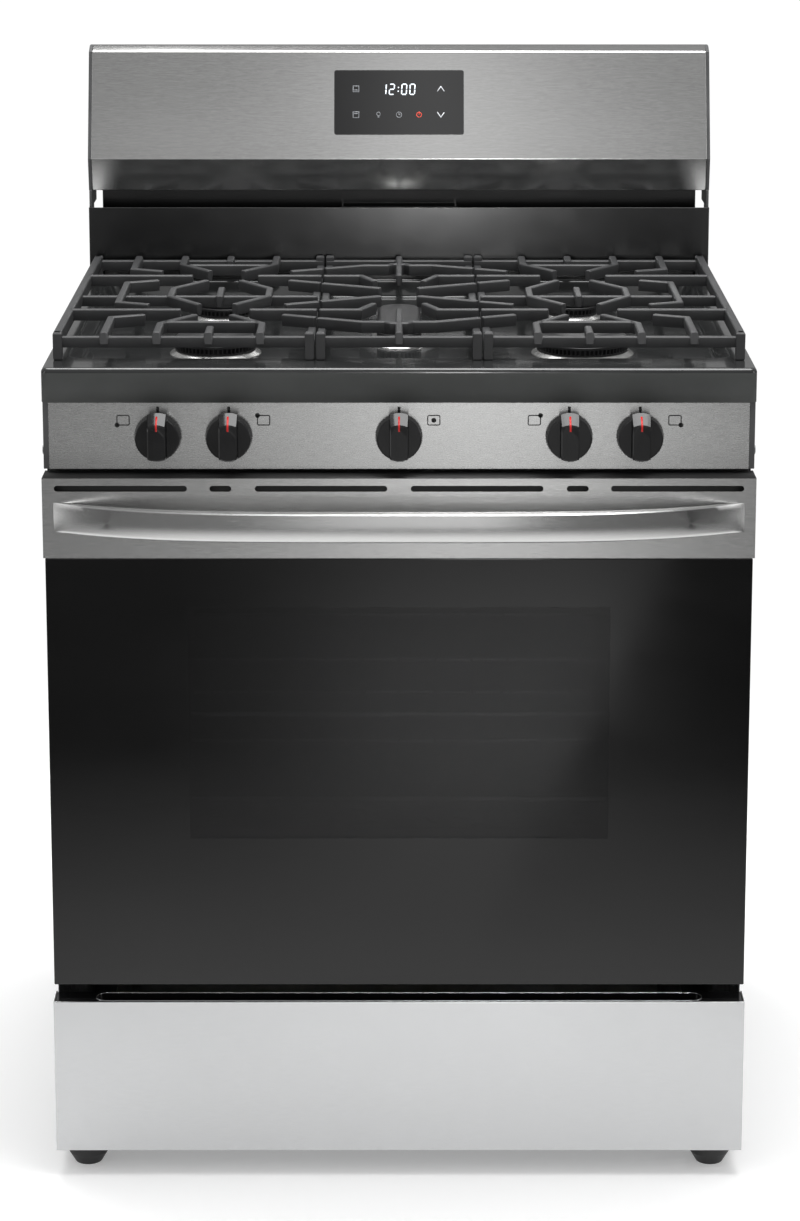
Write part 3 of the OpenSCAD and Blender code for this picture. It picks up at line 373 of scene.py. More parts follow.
class Shape:
    """Collects faces in millimetres, then becomes one piece."""

    def __init__(self):
        self.points = []
        self.faces = []

    def ring(self, points):
        start = len(self.points)
        self.points.extend(points)
        return list(range(start, start + len(points)))

    def loft(self, rings, closed=True, cap_first=False, cap_last=False):
        """Joins each ring of points to the next with faces."""
        made = [self.ring(r) for r in rings]
        n = len(made[0])
        for a, b in zip(made, made[1:]):
            for i in range(n if closed else n - 1):
                j = (i + 1) % n
                self.faces.append((a[i], a[j], b[j], b[i]))
        if cap_first:
            self.faces.append(tuple(reversed(made[0])))
        if cap_last:
            self.faces.append(tuple(made[-1]))

    def piece(self, name, body, slot, look, sharp=0, weld=0.0):
        """Makes the object; edges over sharp degrees stay sharp, and 0 keeps the whole piece smooth."""
        mesh = bpy.data.meshes.new(name)
        build = bmesh.new()
        verts = [build.verts.new(Vector(p) * MM) for p in self.points]
        for face in self.faces:
            build.faces.new([verts[i] for i in face])
        if weld:
            bmesh.ops.remove_doubles(build, verts=build.verts, dist=weld * MM)
        bmesh.ops.recalc_face_normals(build, faces=build.faces)
        build.to_mesh(mesh)
        build.free()
        for polygon in mesh.polygons:
            polygon.use_smooth = True
        if sharp:
            mesh.set_sharp_from_angle(angle=math.radians(sharp))
        mesh.materials.append(M[look])
        made = bpy.data.objects.new(name, mesh)
        bpy.context.scene.collection.objects.link(made)
        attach(made, body)
        return made


def thicken(obj, amount, offset=-1.0):
    """Gives a sheet its thickness, to one side, or to both sides at offset 0."""
    solid = obj.modifiers.new("solid", "SOLIDIFY")
    solid.thickness = amount * MM
    solid.offset = offset


def circle(x, y, r, n):
    angles = [2 * math.pi * i / n for i in range(n)]
    return [(x + r * math.cos(a), y + r * math.sin(a)) for a in angles]


def stadium(r, length, x, y, z, n):
    """A circle, or two half circles joined by straight sides along Y."""
    points = []
    for i in range(n):
        a = 2 * math.pi * (i + 0.5) / n
        points.append((x + r * math.cos(a), y + r * math.sin(a) + math.copysign(length / 2, math.sin(a)), z))
    return points


def rounded_rect(half_x, y0, y1, r, z, steps=8):
    """A level rectangle, from -half_x to half_x and y0 to y1, with rounded corners."""
    points = []
    for cx, cy, start in ((1, 1, 0), (-1, 1, 90), (-1, -1, 180), (1, -1, 270)):
        corner = arc(cx * (half_x - r), (y1 - r) if cy > 0 else (y0 + r), r, start, start + 90, steps)
        points += [(x, y, z) for x, y in corner]
    return points


def arc(cx, cy, r, start, end, steps):
    angles = [math.radians(start + (end - start) * i / steps) for i in range(steps + 1)]
    return [(cx + r * math.cos(a), cy + r * math.sin(a)) for a in angles]


def filleted(corners, radii, steps):
    """A 2-D line through the corners, rounded at each inner corner."""
    path = [Vector(corners[0])]
    for before, corner, after, r in zip(corners, corners[1:], corners[2:], radii):
        corner, a, b = Vector(corner), Vector(before) - Vector(corner), Vector(after) - Vector(corner)
        half = a.angle(b) / 2
        reach = r / math.tan(half)
        start, end = corner + a.normalized() * reach, corner + b.normalized() * reach
        for i in range(steps + 1):
            t = i / steps
            path.append((1 - t) ** 2 * start + 2 * t * (1 - t) * corner + t * t * end)
    path.append(Vector(corners[-1]))
    return [tuple(p) for p in path]


def mitred(points, least):
    """Each point of a 2-D line, the direction along it there, and the way across it, mitred at bends.

    A mitre is no longer than 1 / least.
    """
    points = [Vector(p) for p in points]
    stations = []
    for i, p in enumerate(points):
        before = (p - points[i - 1]).normalized() if i else None
        after = (points[i + 1] - p).normalized() if i < len(points) - 1 else None
        bend = before is not None and after is not None
        along = (before + after).normalized() if bend else before or after
        across = Vector((-along.y, along.x))
        if bend:
            across = across / max(least, across.dot(Vector((-before.y, before.x))))
        stations.append((p, along, across))
    return stations


# ---------------------------------------------------------------- cooktop

COOK_LOW, COOK_HIGH = mm_box("cooktop")
RIM_Z = COOK_HIGH.z
WELL_DEPTH = 20
DECK_Z = RIM_Z - WELL_DEPTH
GRID_Y = 18.5
BURNER_DY = 112.5
BURNER_X = 204.5
# place, radius of the port ring, and length of the straight sides
BURNERS = {
    "front_left": (-BURNER_X, GRID_Y - BURNER_DY, 44, 0),
    "rear_left": (-BURNER_X, GRID_Y + BURNER_DY, 36, 0),
    "front_right": (BURNER_X, GRID_Y - BURNER_DY, 50, 0),
    "rear_right": (BURNER_X, GRID_Y + BURNER_DY, 28, 0),
    "middle": (0, GRID_Y, 24, 120),
}


def cooktop():
    """Stamped top: a rolled outer edge, a flat ledge, and a sloped wall down to the deck."""
    half, front, back = COOK_HIGH.x, COOK_LOW.y, COOK_HIGH.y
    ledge_side, ledge_front, ledge_back = 23, 57, 16
    roll, corner, well_corner = 5, 8, 22

    def outline(inset, r, z):
        return rounded_rect(half - inset, front + inset, back - inset, r, z)

    def well(inset, r, z):
        y0, y1 = front + ledge_front + inset, back - ledge_back - inset
        return rounded_rect(half - ledge_side - inset, y0, y1, r, z)

    rings = [outline(2, corner - 2, COOK_LOW.z), outline(0, corner, COOK_LOW.z)]
    rings.append(outline(0, corner, RIM_Z - roll - 1))
    for a in (math.radians(d) for d in range(0, 91, 15)):
        inset = roll * (1 - math.cos(a))
        rings.append(outline(inset, corner - inset, RIM_Z - roll + roll * math.sin(a)))
    rings.append(outline(roll + 1, corner - roll, RIM_Z))
    wall = filleted([(-2, 0), (1.2, 0), (7, -WELL_DEPTH), (16, -WELL_DEPTH)], [3, 5], 5)
    rings += [well(inset, well_corner - min(inset, 8), RIM_Z + z) for inset, z in wall]
    rings.append(well(18, 14, DECK_Z))
    shape = Shape()
    shape.loft(rings, cap_last=True)
    made = shape.piece("cooktop_stamping", "body", "cooktop", "apron")
    made.data.materials.append(M["deck"])
    # every face that looks up, from the rim to the deck, has the glossier enamel
    middle, reach = (RIM_Z + DECK_Z) / 2 * MM, (WELL_DEPTH / 2 + 0.2) * MM
    for polygon in made.data.polygons:
        polygon.material_index = int(abs(polygon.center.z - middle) < reach and polygon.normal.z > 0.1)
    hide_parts("cooktop")


# height over the deck, how far out from the ring's radius, and whether the row is cut by the ports
PORT_ROWS = (
    (4.0, 0.6, False), (6.2, 0.8, False), (6.6, 0.8, True), (11.6, 1.0, True), (12.0, 1.0, False),
    (14.4, 1.0, False), (15.0, 0.4, False), (15.0, -4.0, False),
)
PORT_DEPTH = 3.2
PORT_SPACING = 5.0
CAP_LIFT = 15.3


def burners():
    """Silver bases, black port rings and dished caps."""
    bases, ports = Shape(), Shape()
    for name, (x, y, r, length) in BURNERS.items():
        def outline(radius, z, n=64):
            return stadium(radius, length, x, y, z, n)

        base = ((r + 7, 0.0), (r + 7, 0.7), (r + 6.4, 1.2), (r + 1.6, 3.4), (r + 0.4, 4.4), (r - 4, 4.4))
        bases.loft([outline(q, DECK_Z + z) for q, z in base])
        # four points to a port, and a number of ports that divides by four
        n = 4 * 4 * round(2 * math.pi * r / (4 * PORT_SPACING))
        rings = []
        for z, out, cut in PORT_ROWS:
            ring = outline(r + out, DECK_Z + z, n)
            if cut:
                inner = outline(r + out - PORT_DEPTH, DECK_Z + z, n)
                ring = [inner[i] if i % 4 in (1, 2) else p for i, p in enumerate(ring)]
            rings.append(ring)
        ports.loft(rings)
        rows = (
            (r - 5, 0.0), (r - 1.2, 0.0), (r - 0.2, 0.6), (r, 1.4), (r, 3.2), (r - 0.5, 4.4), (r - 1.6, 5.3),
            (r - 3.2, 5.7), (r - 5, 5.6), (r - 9, 5.2), (r - 13, 5.0), (r * 0.35, 5.0),
        )
        cap = Shape()
        cap.loft([outline(q, DECK_Z + CAP_LIFT + z) for q, z in rows], cap_first=True, cap_last=True)
        made = cap.piece(f"cap_{name}_casting", f"{name}_cap", f"cap_{name}", "cap")
        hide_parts(f"cap_{name}")
    base = bases.piece("burner_bases", "body", "burner_heads", "alloy", sharp=40)
    ring = ports.piece("burner_port_rings", "body", "burner_heads", "head", sharp=30)
    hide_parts("burner_heads")
    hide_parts("burner_heads")


# ---------------------------------------------------------------- grates

TOP_Z = 937
# lowest and highest level of each kind of bar
FINGER = (TOP_Z - 13, TOP_Z)
RAIL = (TOP_Z - 17, TOP_Z - 5)
BRACE = (TOP_Z - 20, TOP_Z - 11)
BAR = 8
CHAMFER = 1.3
LEAN = 7
# half the depth of a grate, and how far from the middle the grates meet and end
HALF_D = 258
SPLIT = 91
SIDE = 371
RECESS = 3.4


def bar(shape, points, z, width=BAR, slope=0.0):
    """One cast bar along a bent line, narrower at its foot, with chamfered edges.

    slope pulls the top of its far end back.
    """
    low, high = z
    h = high - low
    w = width / 2
    section = [
        (-0.72 * w, low), (0.72 * w, low), (w, low + 0.45 * h), (w, high - CHAMFER),
        (w - CHAMFER, high), (CHAMFER - w, high), (-w, high - CHAMFER), (-w, low + 0.45 * h),
    ]
    small = [(0.7 * x, low + (q - low) * 0.94 + 0.3) for x, q in section]
    line = mitred(points, 0.35)
    (first, *start), (last, *end) = line[0], line[-1]
    stations = [(first, *start, small, 0.0), (first + start[0] * CHAMFER, *start, section, 0.0)]
    stations += [(*station, section, 0.0) for station in line[1:-1]]
    stations += [(last - end[0] * CHAMFER, *end, section, slope), (last, *end, small, slope)]
    rings = []
    for p, along, across, profile, lean in stations:
        ring = []
        for x, q in profile:
            up = (q - low) / h
            flare = 1.0 + (0.6 * (1 - up) if lean else 0.0)
            spot = p + across * x * flare - along * lean * max(0.0, up - 0.25)
            ring.append((spot.x, spot.y, q))
        rings.append(ring)
    shape.loft(rings, cap_first=True, cap_last=True)


def post(shape, x, side):
    """A foot at the front or back edge, with its top end flush with the fingers."""
    y = GRID_Y + side * HALF_D
    deep = 11
    rings = []
    for z, inset, half in ((907.3, 0.0, 4.2), (909.0, 0.0, 4.8), (935.2, 0.0, 5.0), (TOP_Z, 1.5, 3.6)):
        near, far = y - side * inset, y - side * (deep - inset * 0.5)
        rings.append([(x - half, near, z), (x + half, near, z), (x + half, far, z), (x - half, far, z)])
    shape.loft(rings, cap_first=True, cap_last=True)


def side_grate(mirror):
    """Fingers round two burners, a ring between them, in a frame."""
    shape = Shape()

    def at(x, y, s=1):
        return ((x - BURNER_X) * mirror, GRID_Y + s * y)

    def line(points, slope=0.0):
        bar(shape, [at(*p) for p in points], FINGER, slope=slope)

    outer, inner = BURNER_X - SIDE, BURNER_X - SPLIT
    tip_x, tip_y, ring_x, ring_y, claw, side_tip, side = 19.5, 32, 55.5, 26, 38, 76, 112
    rim_y = HALF_D - BAR / 2 - RECESS
    for s in (-1, 1):
        bar(shape, [(-SIDE * mirror, GRID_Y + s * rim_y), (-SPLIT * mirror, GRID_Y + s * rim_y)], RAIL)
        post(shape, (-SIDE + 5) * mirror, s)
        post(shape, (-SPLIT - 5) * mirror, s)
        line([(outer + 4, BURNER_DY, s), (-claw, BURNER_DY, s)])
        line([(claw, BURNER_DY, s), (inner, BURNER_DY, s)])
        for m in (-1, 1):
            tip, bend = (m * tip_x, BURNER_DY + tip_y, s), (m * ring_x, BURNER_DY + 84, s)
            line([tip, bend, (m * ring_x, HALF_D, s)], LEAN)
        tip, bend = (-side_tip, BURNER_DY + tip_y, s), (-side, BURNER_DY + tip_y + 16, s)
        line([tip, bend, (-side, HALF_D, s)], LEAN)
        line([(-ring_x + 3, BURNER_DY + 76, s), (ring_x - 3, BURNER_DY + 76, s)])
        line([(0, BURNER_DY + 103, s), (0, HALF_D, s)], LEAN)
        line([(side_tip, BURNER_DY + tip_y, s), (inner, BURNER_DY + tip_y + 17.5, s)])
        line([(side_tip, BURNER_DY - tip_y, s), (inner, BURNER_DY - tip_y - 18.5, s)])
    ends = GRID_Y - HALF_D + 1.2, GRID_Y + HALF_D - 1.2
    bar(shape, [((-SIDE + 4.5) * mirror, ends[0]), ((-SIDE + 4.5) * mirror, ends[1])], (RAIL[0], TOP_Z), 9)
    bar(shape, [((-SPLIT - 4.5) * mirror, ends[0]), ((-SPLIT - 4.5) * mirror, ends[1])], BRACE, 9)
    bar(shape, [((-SIDE + 2) * mirror, GRID_Y), ((-SPLIT - 2) * mirror, GRID_Y)], RAIL)
    for m in (-1, 1):
        line([
            (m * tip_x, BURNER_DY - tip_y, -1), (m * ring_x, ring_y, -1),
            (m * ring_x, ring_y), (m * tip_x, BURNER_DY - tip_y),
        ])
    line([
        (-side_tip, BURNER_DY - tip_y, -1), (-side, BURNER_DY - tip_y - 16, -1),
        (-side, BURNER_DY - tip_y - 16), (-side_tip, BURNER_DY - tip_y),
    ])
    line([(0, 31, -1), (0, 31)])
    return shape


def middle_grate():
    """A star of fingers over the oval burner, with a fork at each end."""
    shape = Shape()
    edge = SPLIT - 2
    tip_y = 32
    shelf = BURNER_DY + tip_y + 43
    for s in (-1, 1):
        def at(x, y):
            return (x, GRID_Y + s * y)

        bar(shape, [at(-edge, HALF_D - BAR / 2 - RECESS), at(edge, HALF_D - BAR / 2 - RECESS)], RAIL)
        for m in (-1, 1):
            post(shape, m * (edge - 5), s)
            bar(shape, [at(-m * edge, BURNER_DY), at(-m * 44, BURNER_DY), at(-m * 28, BURNER_DY - 39)], FINGER)
            bar(shape, [at(-m * edge, BURNER_DY - tip_y - 21), at(-m * 21, 26)], FINGER)
            bar(
                shape,
                [at(-m * edge, BURNER_DY + tip_y + 20), at(-m * 40, shelf), at(-m * 14, shelf),
                 at(-m * 8, shelf + 8), at(m * 0.5, shelf + 8)],
                FINGER,
            )
        bar(shape, [at(0, BURNER_DY - 1), at(0, HALF_D)], FINGER, BAR - 1, LEAN)
    for m in (-1, 1):
        x, reach = m * (edge - 4.5), HALF_D - 1.2
        bar(shape, [(x, GRID_Y - reach), (x, GRID_Y + reach)], BRACE, 9)
    return shape


def grates():
    """The three castings, with the edges of their bars just broken."""
    for name, shape in (("left", side_grate(1)), ("middle", middle_grate()), ("right", side_grate(-1))):
        made = shape.piece(f"grate_{name}_casting", f"{name}_grate", f"grate_{name}", "grate", sharp=30)
        soften(made, 0.35, 1, 20, welded=True)
        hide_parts(f"grate_{name}")


# ---------------------------------------------------------------- front

DOOR_Y = -305.0
DOOR_TOP = 792.0
HANDLE_Z = 750.0


def handle_section(depth):
    """The bar's outline from its outer face inwards: a slightly crowned face that curves under at its foot.

    Its roundings shrink where the bar is thinner than 15 mm, at its two ends.
    """
    k = min(1.0, depth / 15.0)
    face = [(0.0, z) for z in (14.6, 10, 6, 3)]
    face += [(k * 0.0125 * (z - 3) ** 2, z) for z in (0, -3, -6, -9, -12, -14)]
    foot = [(k * 4.6, -15.2), (k * 6.0, -16.0), (depth - k * 2.5, -16.0), (depth - k * 0.7, -15.3)]
    back = [(depth, -13.5), (depth, 13.5), (depth - k * 0.7, 15.3), (depth - k * 2.5, 16.0)]
    return face + foot + back + [(k * 1.4, 16.0)]


def handle():
    """A bowed bar that runs into the door at both ends."""
    half, reach, thick, inner_half, power = 367.0, 55.0, 15.0, 354.0, 4
    shape = Shape()
    rings = []
    stations = 72
    for i in range(stations + 1):
        x = -half * math.cos(math.pi * i / stations)
        out = DOOR_Y - reach * (1 - (abs(x) / half) ** power)
        back = DOOR_Y - max(0.0, (reach - thick) * (1 - (min(abs(x), inner_half) / inner_half) ** power))
        rings.append([(x, out + y, HANDLE_Z + z) for y, z in handle_section(back - out)])
    shape.loft(rings, cap_first=True, cap_last=True)
    made = shape.piece("handle_bar", "door", "door_handle", "handle", sharp=28, weld=0.02)
    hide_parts("door_handle")


def pull_highlight_bead():
    """A fine bead round the scoop of the finger pull, in light chrome, which paints the highlight on the lip of
    the black moulding.
    """
    half, middle_y, r, bead, rim_z = 321.25, -287.75, 11.75, 0.7, 203.2
    steps = 24
    rings = []
    for i in range(2 * steps + 1):
        a = math.pi * (i / steps - 0.5)
        side = half if i <= steps else -half
        rings.append([
            (side + out * math.cos(a), middle_y + out * math.sin(a), rim_z + up)
            for out, up in circle(r, 0.0, bead, 8)
        ])
        if i == steps:
            rings.append([(x - 2 * half, y, z) for x, y, z in rings[-1]])
    rings.append(rings[0])
    shape = Shape()
    shape.loft(rings)
    # the light chrome paints the highlight that the black gloss lip catches
    shape.piece("pull_highlight_bead", "drawer", "drawer_pull", "chrome", weld=0.01)


def black_sheets():
    """Black sheet behind the door's vent slots, which paints the shade inside them, and black sheet on top of
    the door's steel strip.
    """
    # the sheet behind the vent slots is painted shade: black where the inside of the door lies in shade
    shade_profile = [(DOOR_Y + 3.0, z) for z in (768.0, 772.0, 786.0, 789.0)]
    cover = [(DOOR_Y + back, DOOR_TOP) for back in (0.9, 25.0, 38.0)]
    for name, slot, half, profile, thick, offset in (
        ("vent_shade_sheet", "door_frame", 370.0, shade_profile, 0.6, -1.0),
        ("strip_cap", "door_steel_strip", 379.0, cover, 0.5, 0.0),
    ):
        shape = Shape()
        shape.loft([[(x, y, z) for y, z in profile] for x in (-half, 0.0, half)], closed=False)
        thicken(shape.piece(name, "door", slot, "ink"), thick, offset)


KNOB_X = (-256.5, -181.0, 0.0, 181.0, 256.5)
KNOB_Z = 833.0
KNOB_BACK, KNOB_DIAL, KNOB_FRONT = -284.5, -296.5, -310.5


def grip_outline(half, top, bottom, y, x, crown=1.6, corner=1.6):
    """The grip's outline: two straight sides, and ends that are slightly crowned, with small corner arcs."""
    inner = half - corner
    points = []
    for side, end in ((1, top), (-1, bottom)):
        shoulder = end - crown - corner
        points += [(side * half, side * shoulder * i / 4) for i in range(5)]
        points += [
            (side * (half - corner * (1 - math.cos(a))), side * (shoulder + corner * math.sin(a)))
            for a in (math.radians(d) for d in (30, 60, 90))
        ]
        points += [
            (side * u * inner, side * (end - crown * u * u))
            for u in (0.75, 0.5, 0.25, 0.0, -0.25, -0.5, -0.75)
        ]
        points += [
            (side * (corner * (1 - math.sin(a)) - half), side * (shoulder + corner * math.cos(a)))
            for a in (math.radians(d) for d in (0, 30, 60))
        ]
        points += [(-side * half, side * shoulder * i / 4) for i in (4, 3, 2, 1)]
    return [(x + p[0], y, KNOB_Z + p[1]) for p in points]


EDGE_TURN = [math.radians(d) for d in (22, 45, 68, 90)]
GRIP_TOP, GRIP_BOTTOM = 28.3, 22.0


def grip_level(y, inset=0.0):
    """Half width, upper end, lower end and depth of a knob's grip at a depth; the upper end slopes back."""
    t = (KNOB_DIAL - y) / (KNOB_DIAL - KNOB_FRONT)
    return (10.4 - 0.8 * t - inset, GRIP_TOP - 11.0 * max(0.0, t) - inset, GRIP_BOTTOM - 0.4 * t - inset, y)


def knobs():
    """A round dial with a grip across it, and a red pointer over the grip's upper end."""
    edge = 0.7
    dial = [(4.6, KNOB_BACK), (24.6, KNOB_BACK), (25.0, KNOB_BACK - 0.4), (23.6, KNOB_DIAL + edge)]
    dial += [(22.9 + edge * math.cos(a), KNOB_DIAL + edge - edge * math.sin(a)) for a in EDGE_TURN]
    dial += [(22.2, KNOB_DIAL), (4.0, KNOB_DIAL)]
    grip = [grip_level(y) for y in (KNOB_DIAL + 0.9, KNOB_DIAL, -302.0, KNOB_FRONT + 0.8)]
    grip.append(grip_level(KNOB_FRONT, 1.1))
    lift, pointer_half = 0.12, 1.0
    path = [(y - lift, grip_level(y)[1] + lift) for y in (-300.5, -305.0, KNOB_FRONT + 1.2)]
    path += [(y - lift, grip_level(y)[1] - inset) for y, inset in ((KNOB_FRONT + 0.4, 0.2), (KNOB_FRONT, 1.2))]
    path += [(KNOB_FRONT - lift, 11.0), (KNOB_FRONT + 0.2, 10.6)]
    for i, x in enumerate(KNOB_X, 1):
        knob = f"knob_{i}"
        shape = Shape()
        shape.loft([[(px, y, pz) for px, pz in circle(x, KNOB_Z, r, 72)] for r, y in dial], cap_last=True)
        shape.loft([grip_outline(*level, x) for level in grip], cap_first=True, cap_last=True)
        made = shape.piece(f"{knob}_moulding", knob, knob, "knob", sharp=22)
        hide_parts(knob)
        mark = Shape()
        mark.loft([[(x + s * pointer_half, y, KNOB_Z + z) for s in (-1, 1)] for y, z in path], closed=False)
        thicken(mark.piece(f"{knob}_pointer", knob, knob, "red"), 0.2)


def flat_strip(shape, path, width, place):
    """A flat printed line; place() turns its 2-D points into 3-D."""
    shape.loft([
        [place(*(p + across * s * width / 2)) for s in (-1, 1)] for p, _, across in mitred(path, 0.4)
    ], closed=False)


def disc(shape, x, y, r, place, n=20):
    shape.faces.append(tuple(shape.ring([place(*p) for p in circle(x, y, r, n)])))


def closed_line(shape, points, width, place):
    flat_strip(shape, points + [points[0], points[1]], width, place)


def panel_marks():
    """Black ticks over the knobs and a small cooktop diagram beside each one."""
    face_y = -280.0
    shape = Shape()

    def place(x, z):
        return (x, face_y - 0.12, z)

    for x in KNOB_X:
        flat_strip(shape, [(x, KNOB_Z + 25.0), (x, KNOB_Z + 31.8)], 3.0, place)
    aside, above = 37.0, 17.0
    half_w, half_h, r = 6.5, 5.2, 1.4
    # which side of its knob the diagram is on, and where in it the burner's dot is
    diagrams = ((-1, -1, -1), (1, -1, 1), (1, 0, 0), (-1, 1, 1), (1, 1, -1))
    for x, (side, dot_x, dot_z) in zip(KNOB_X, diagrams):
        cx, cz = x + side * aside, KNOB_Z + above
        outline = []
        for sx, sz, start in ((1, 1, 0), (-1, 1, 90), (-1, -1, 180), (1, -1, 270)):
            outline += arc(cx + sx * (half_w - r), cz + sz * (half_h - r), r, start, start + 90, 3)
        closed_line(shape, outline, 1.1, place)
        disc(shape, cx + dot_x * half_w, cz + dot_z * half_h, 2.6, place)
    thicken(shape.piece("panel_diagrams", "body", "control_panel", "ink"), 0.1, 1.0)


# ---------------------------------------------------------------- backguard

# lower and upper edge of the console's sloped face, in Y and Z
FACE_LOW = Vector((291.0, 1053.0))
FACE_TOP = Vector((331.0, 1180.0))


def console():
    """The sheet-steel console, one bent sheet with rounded folds."""
    corners = [(311, 1013.6), (299, 1013.6), tuple(FACE_LOW), tuple(FACE_TOP), (345, 1186), (357.4, 1186)]
    profile = filleted(corners, [1.6, 2.6, 5.0, 6.0], 6)
    shape = Shape()
    half = 374.9
    inner = [half * (i / 12 - 1) for i in range(1, 24)]
    stops = [-half, 1 - half, 3 - half] + inner + [half - 3, half - 1, half]
    shape.loft([[(x, y, z) for y, z in profile] for x in stops], closed=False)
    made = shape.piece("console_sheet", "body", "console_shell", "console")
    thicken(made, 1.3)
    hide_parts("console_shell")


# the lit bars of each figure of the clock
SEGMENTS = {"0": "abcdef", "1": "bc", "2": "abged"}


def display():
    """Lit digits and plain symbols on the touch glass."""
    up = (FACE_TOP - FACE_LOW).normalized()
    out = Vector((-up.y, up.x))
    glass_low, glass_h, glass_t = 30.0, 80.0, 1.2
    middle = FACE_LOW + up * (glass_low + glass_h / 2) + out * (glass_t + 0.12)

    def place(u, v):
        p = middle + up * v
        return (u, p.x, p.y)

    digits, arrows, symbols, stop = Shape(), Shape(), Shape(), Shape()
    w, h, gap, lean, low = 5.8, 6.3, 0.6, 0.06, 9.6
    legs = {
        "a": ((0, 2 * h), (w, 2 * h)), "b": ((w, 2 * h), (w, h)), "c": ((w, h), (w, 0)), "d": ((0, 0), (w, 0)),
        "e": ((0, h), (0, 0)), "f": ((0, 2 * h), (0, h)), "g": ((0, h), (w, h)),
    }
    for x, figure in ((-22.0, "1"), (-12.0, "2"), (3.0, "0"), (13.0, "0")):
        for leg in SEGMENTS[figure]:
            a, b = (Vector(p) for p in legs[leg])
            step = (b - a).normalized() * gap
            ends = (a + step, b - step)
            flat_strip(digits, [(x + p.x + lean * p.y, low + p.y) for p in ends], 1.25, place)
    for v in (low + 4.0, low + 8.6):
        disc(digits, -1.2 + lean * (v - low), v, 0.8, place, 12)
    row_high, row_low = 16.5, -15.5
    for s, v in ((1, row_high), (-1, row_low)):
        flat_strip(arrows, [(46.8, v - s * 3.0), (51.0, v + s * 3.0), (55.2, v - s * 3.0)], 1.0, place)
    # two oven modes: a box with a bar near its foot, and one with a bar near its top
    for v, bar_v in ((row_high, -2.6), (row_low, 2.6)):
        box = [(-56.0, v - 3.6), (-49.0, v - 3.6), (-49.0, v + 3.6), (-56.0, v + 3.6)]
        closed_line(symbols, box, 0.6, place)
        flat_strip(symbols, [(-54.6, v + bar_v * 0.55), (-50.4, v + bar_v * 0.55)], 0.8, place)
    # lamp, timer and stop
    closed_line(symbols, circle(-25.0, -14.5, 2.2, 15), 0.5, place)
    flat_strip(symbols, [(-26.0, -18.2), (-24.0, -18.2)], 0.9, place)
    closed_line(symbols, circle(0.0, row_low, 3.3, 18), 0.55, place)
    flat_strip(symbols, [(0.0, -13.2), (0.0, row_low), (1.8, row_low)], 0.5, place)
    closed_line(stop, circle(24.5, row_low, 3.0, 18), 0.7, place)
    flat_strip(stop, [(24.5, -15.6), (24.5, -11.6)], 0.8, place)
    for name, shape, look in (
        ("clock_digits", digits, "white_light"), ("arrow_symbols", arrows, "mid_light"),
        ("touch_symbols", symbols, "dim_light"), ("stop_symbol", stop, "red_light"),
    ):
        thicken(shape.piece(name, "body", "touch_glass", look), 0.08, 1.0)


# ---------------------------------------------------------------- stage

def stage_floor():
    """A pale round floor that fades out into the white surround."""
    n, size = 24, 3.6
    mesh = bpy.data.meshes.new("floor")
    build = bmesh.new()
    bmesh.ops.create_grid(build, x_segments=n, y_segments=n, size=size)
    build.to_mesh(mesh)
    build.free()
    floor = bpy.data.objects.new("floor", mesh)
    bpy.context.scene.collection.objects.link(floor)
    g = Graph("pale_floor", Specular_IOR_Level=0.2, Emission_Strength=0.25)
    cloud = g.noise(0.8, detail=2.0)
    away = g.node("VectorMath", {0: g.place}, operation="LENGTH").outputs["Value"]
    g.set("Base Color", g.ramp(cloud, [(0.3, 0.88), (0.7, 0.90)]))
    g.set("Emission Color", g.ramp(cloud, [(0.3, 0.98), (0.7, 1.0)]))
    g.set("Roughness", g.span(cloud, 0.75, 0.85))
    g.set("Alpha", g.span(away, 1.0, 0.0, (0.9, 1.9)))
    mesh.materials.append(g.material)


def area_light(name, place, target, size, power):
    data = bpy.data.lights.new(name, "AREA")
    data.shape = "RECTANGLE"
    data.size, data.size_y = size
    data.energy = power
    lamp = bpy.data.objects.new(name, data)
    bpy.context.scene.collection.objects.link(lamp)
    lamp.location = place
    lamp.rotation_mode = "QUATERNION"
    lamp.rotation_quaternion = (Vector(target) - Vector(place)).to_track_quat("-Z", "Y")
    return lamp


# strength of the white surround, and of the diffuse light from below and from above
SURROUND = 1.02
FILL = (0.24, 0.8)
# middle of each soft box, its two widths, and its strength
SOFT_BOXES = (
    (0.005, -0.13, 0.032, 0.040, 2.4),
    (0.016, -0.31, 0.050, 0.070, 1.4),
    (0.062, -0.30, 0.030, 0.060, 0.8),
    (0.0125, 0.53, 0.028, 0.300, 1.0),
    (-0.073, 0.50, 0.015, 0.030, 0.6),
    (0.066, 0.50, 0.015, 0.030, 0.5),
    (-0.098, 0.12, 0.020, 0.20, 1.0),
    (0.105, 0.12, 0.020, 0.20, 0.5),
    (2.9, 0.20, 0.8, 0.9, 4.5),
    (-2.9, 0.20, 0.8, 0.9, 3.0),
)
# two points on the edge of a dark flag to the right, and how much light it takes away
FLAG_EDGE = ((0.0829, -0.258), (0.0317, -0.366))
FLAG_SHADE = 0.75


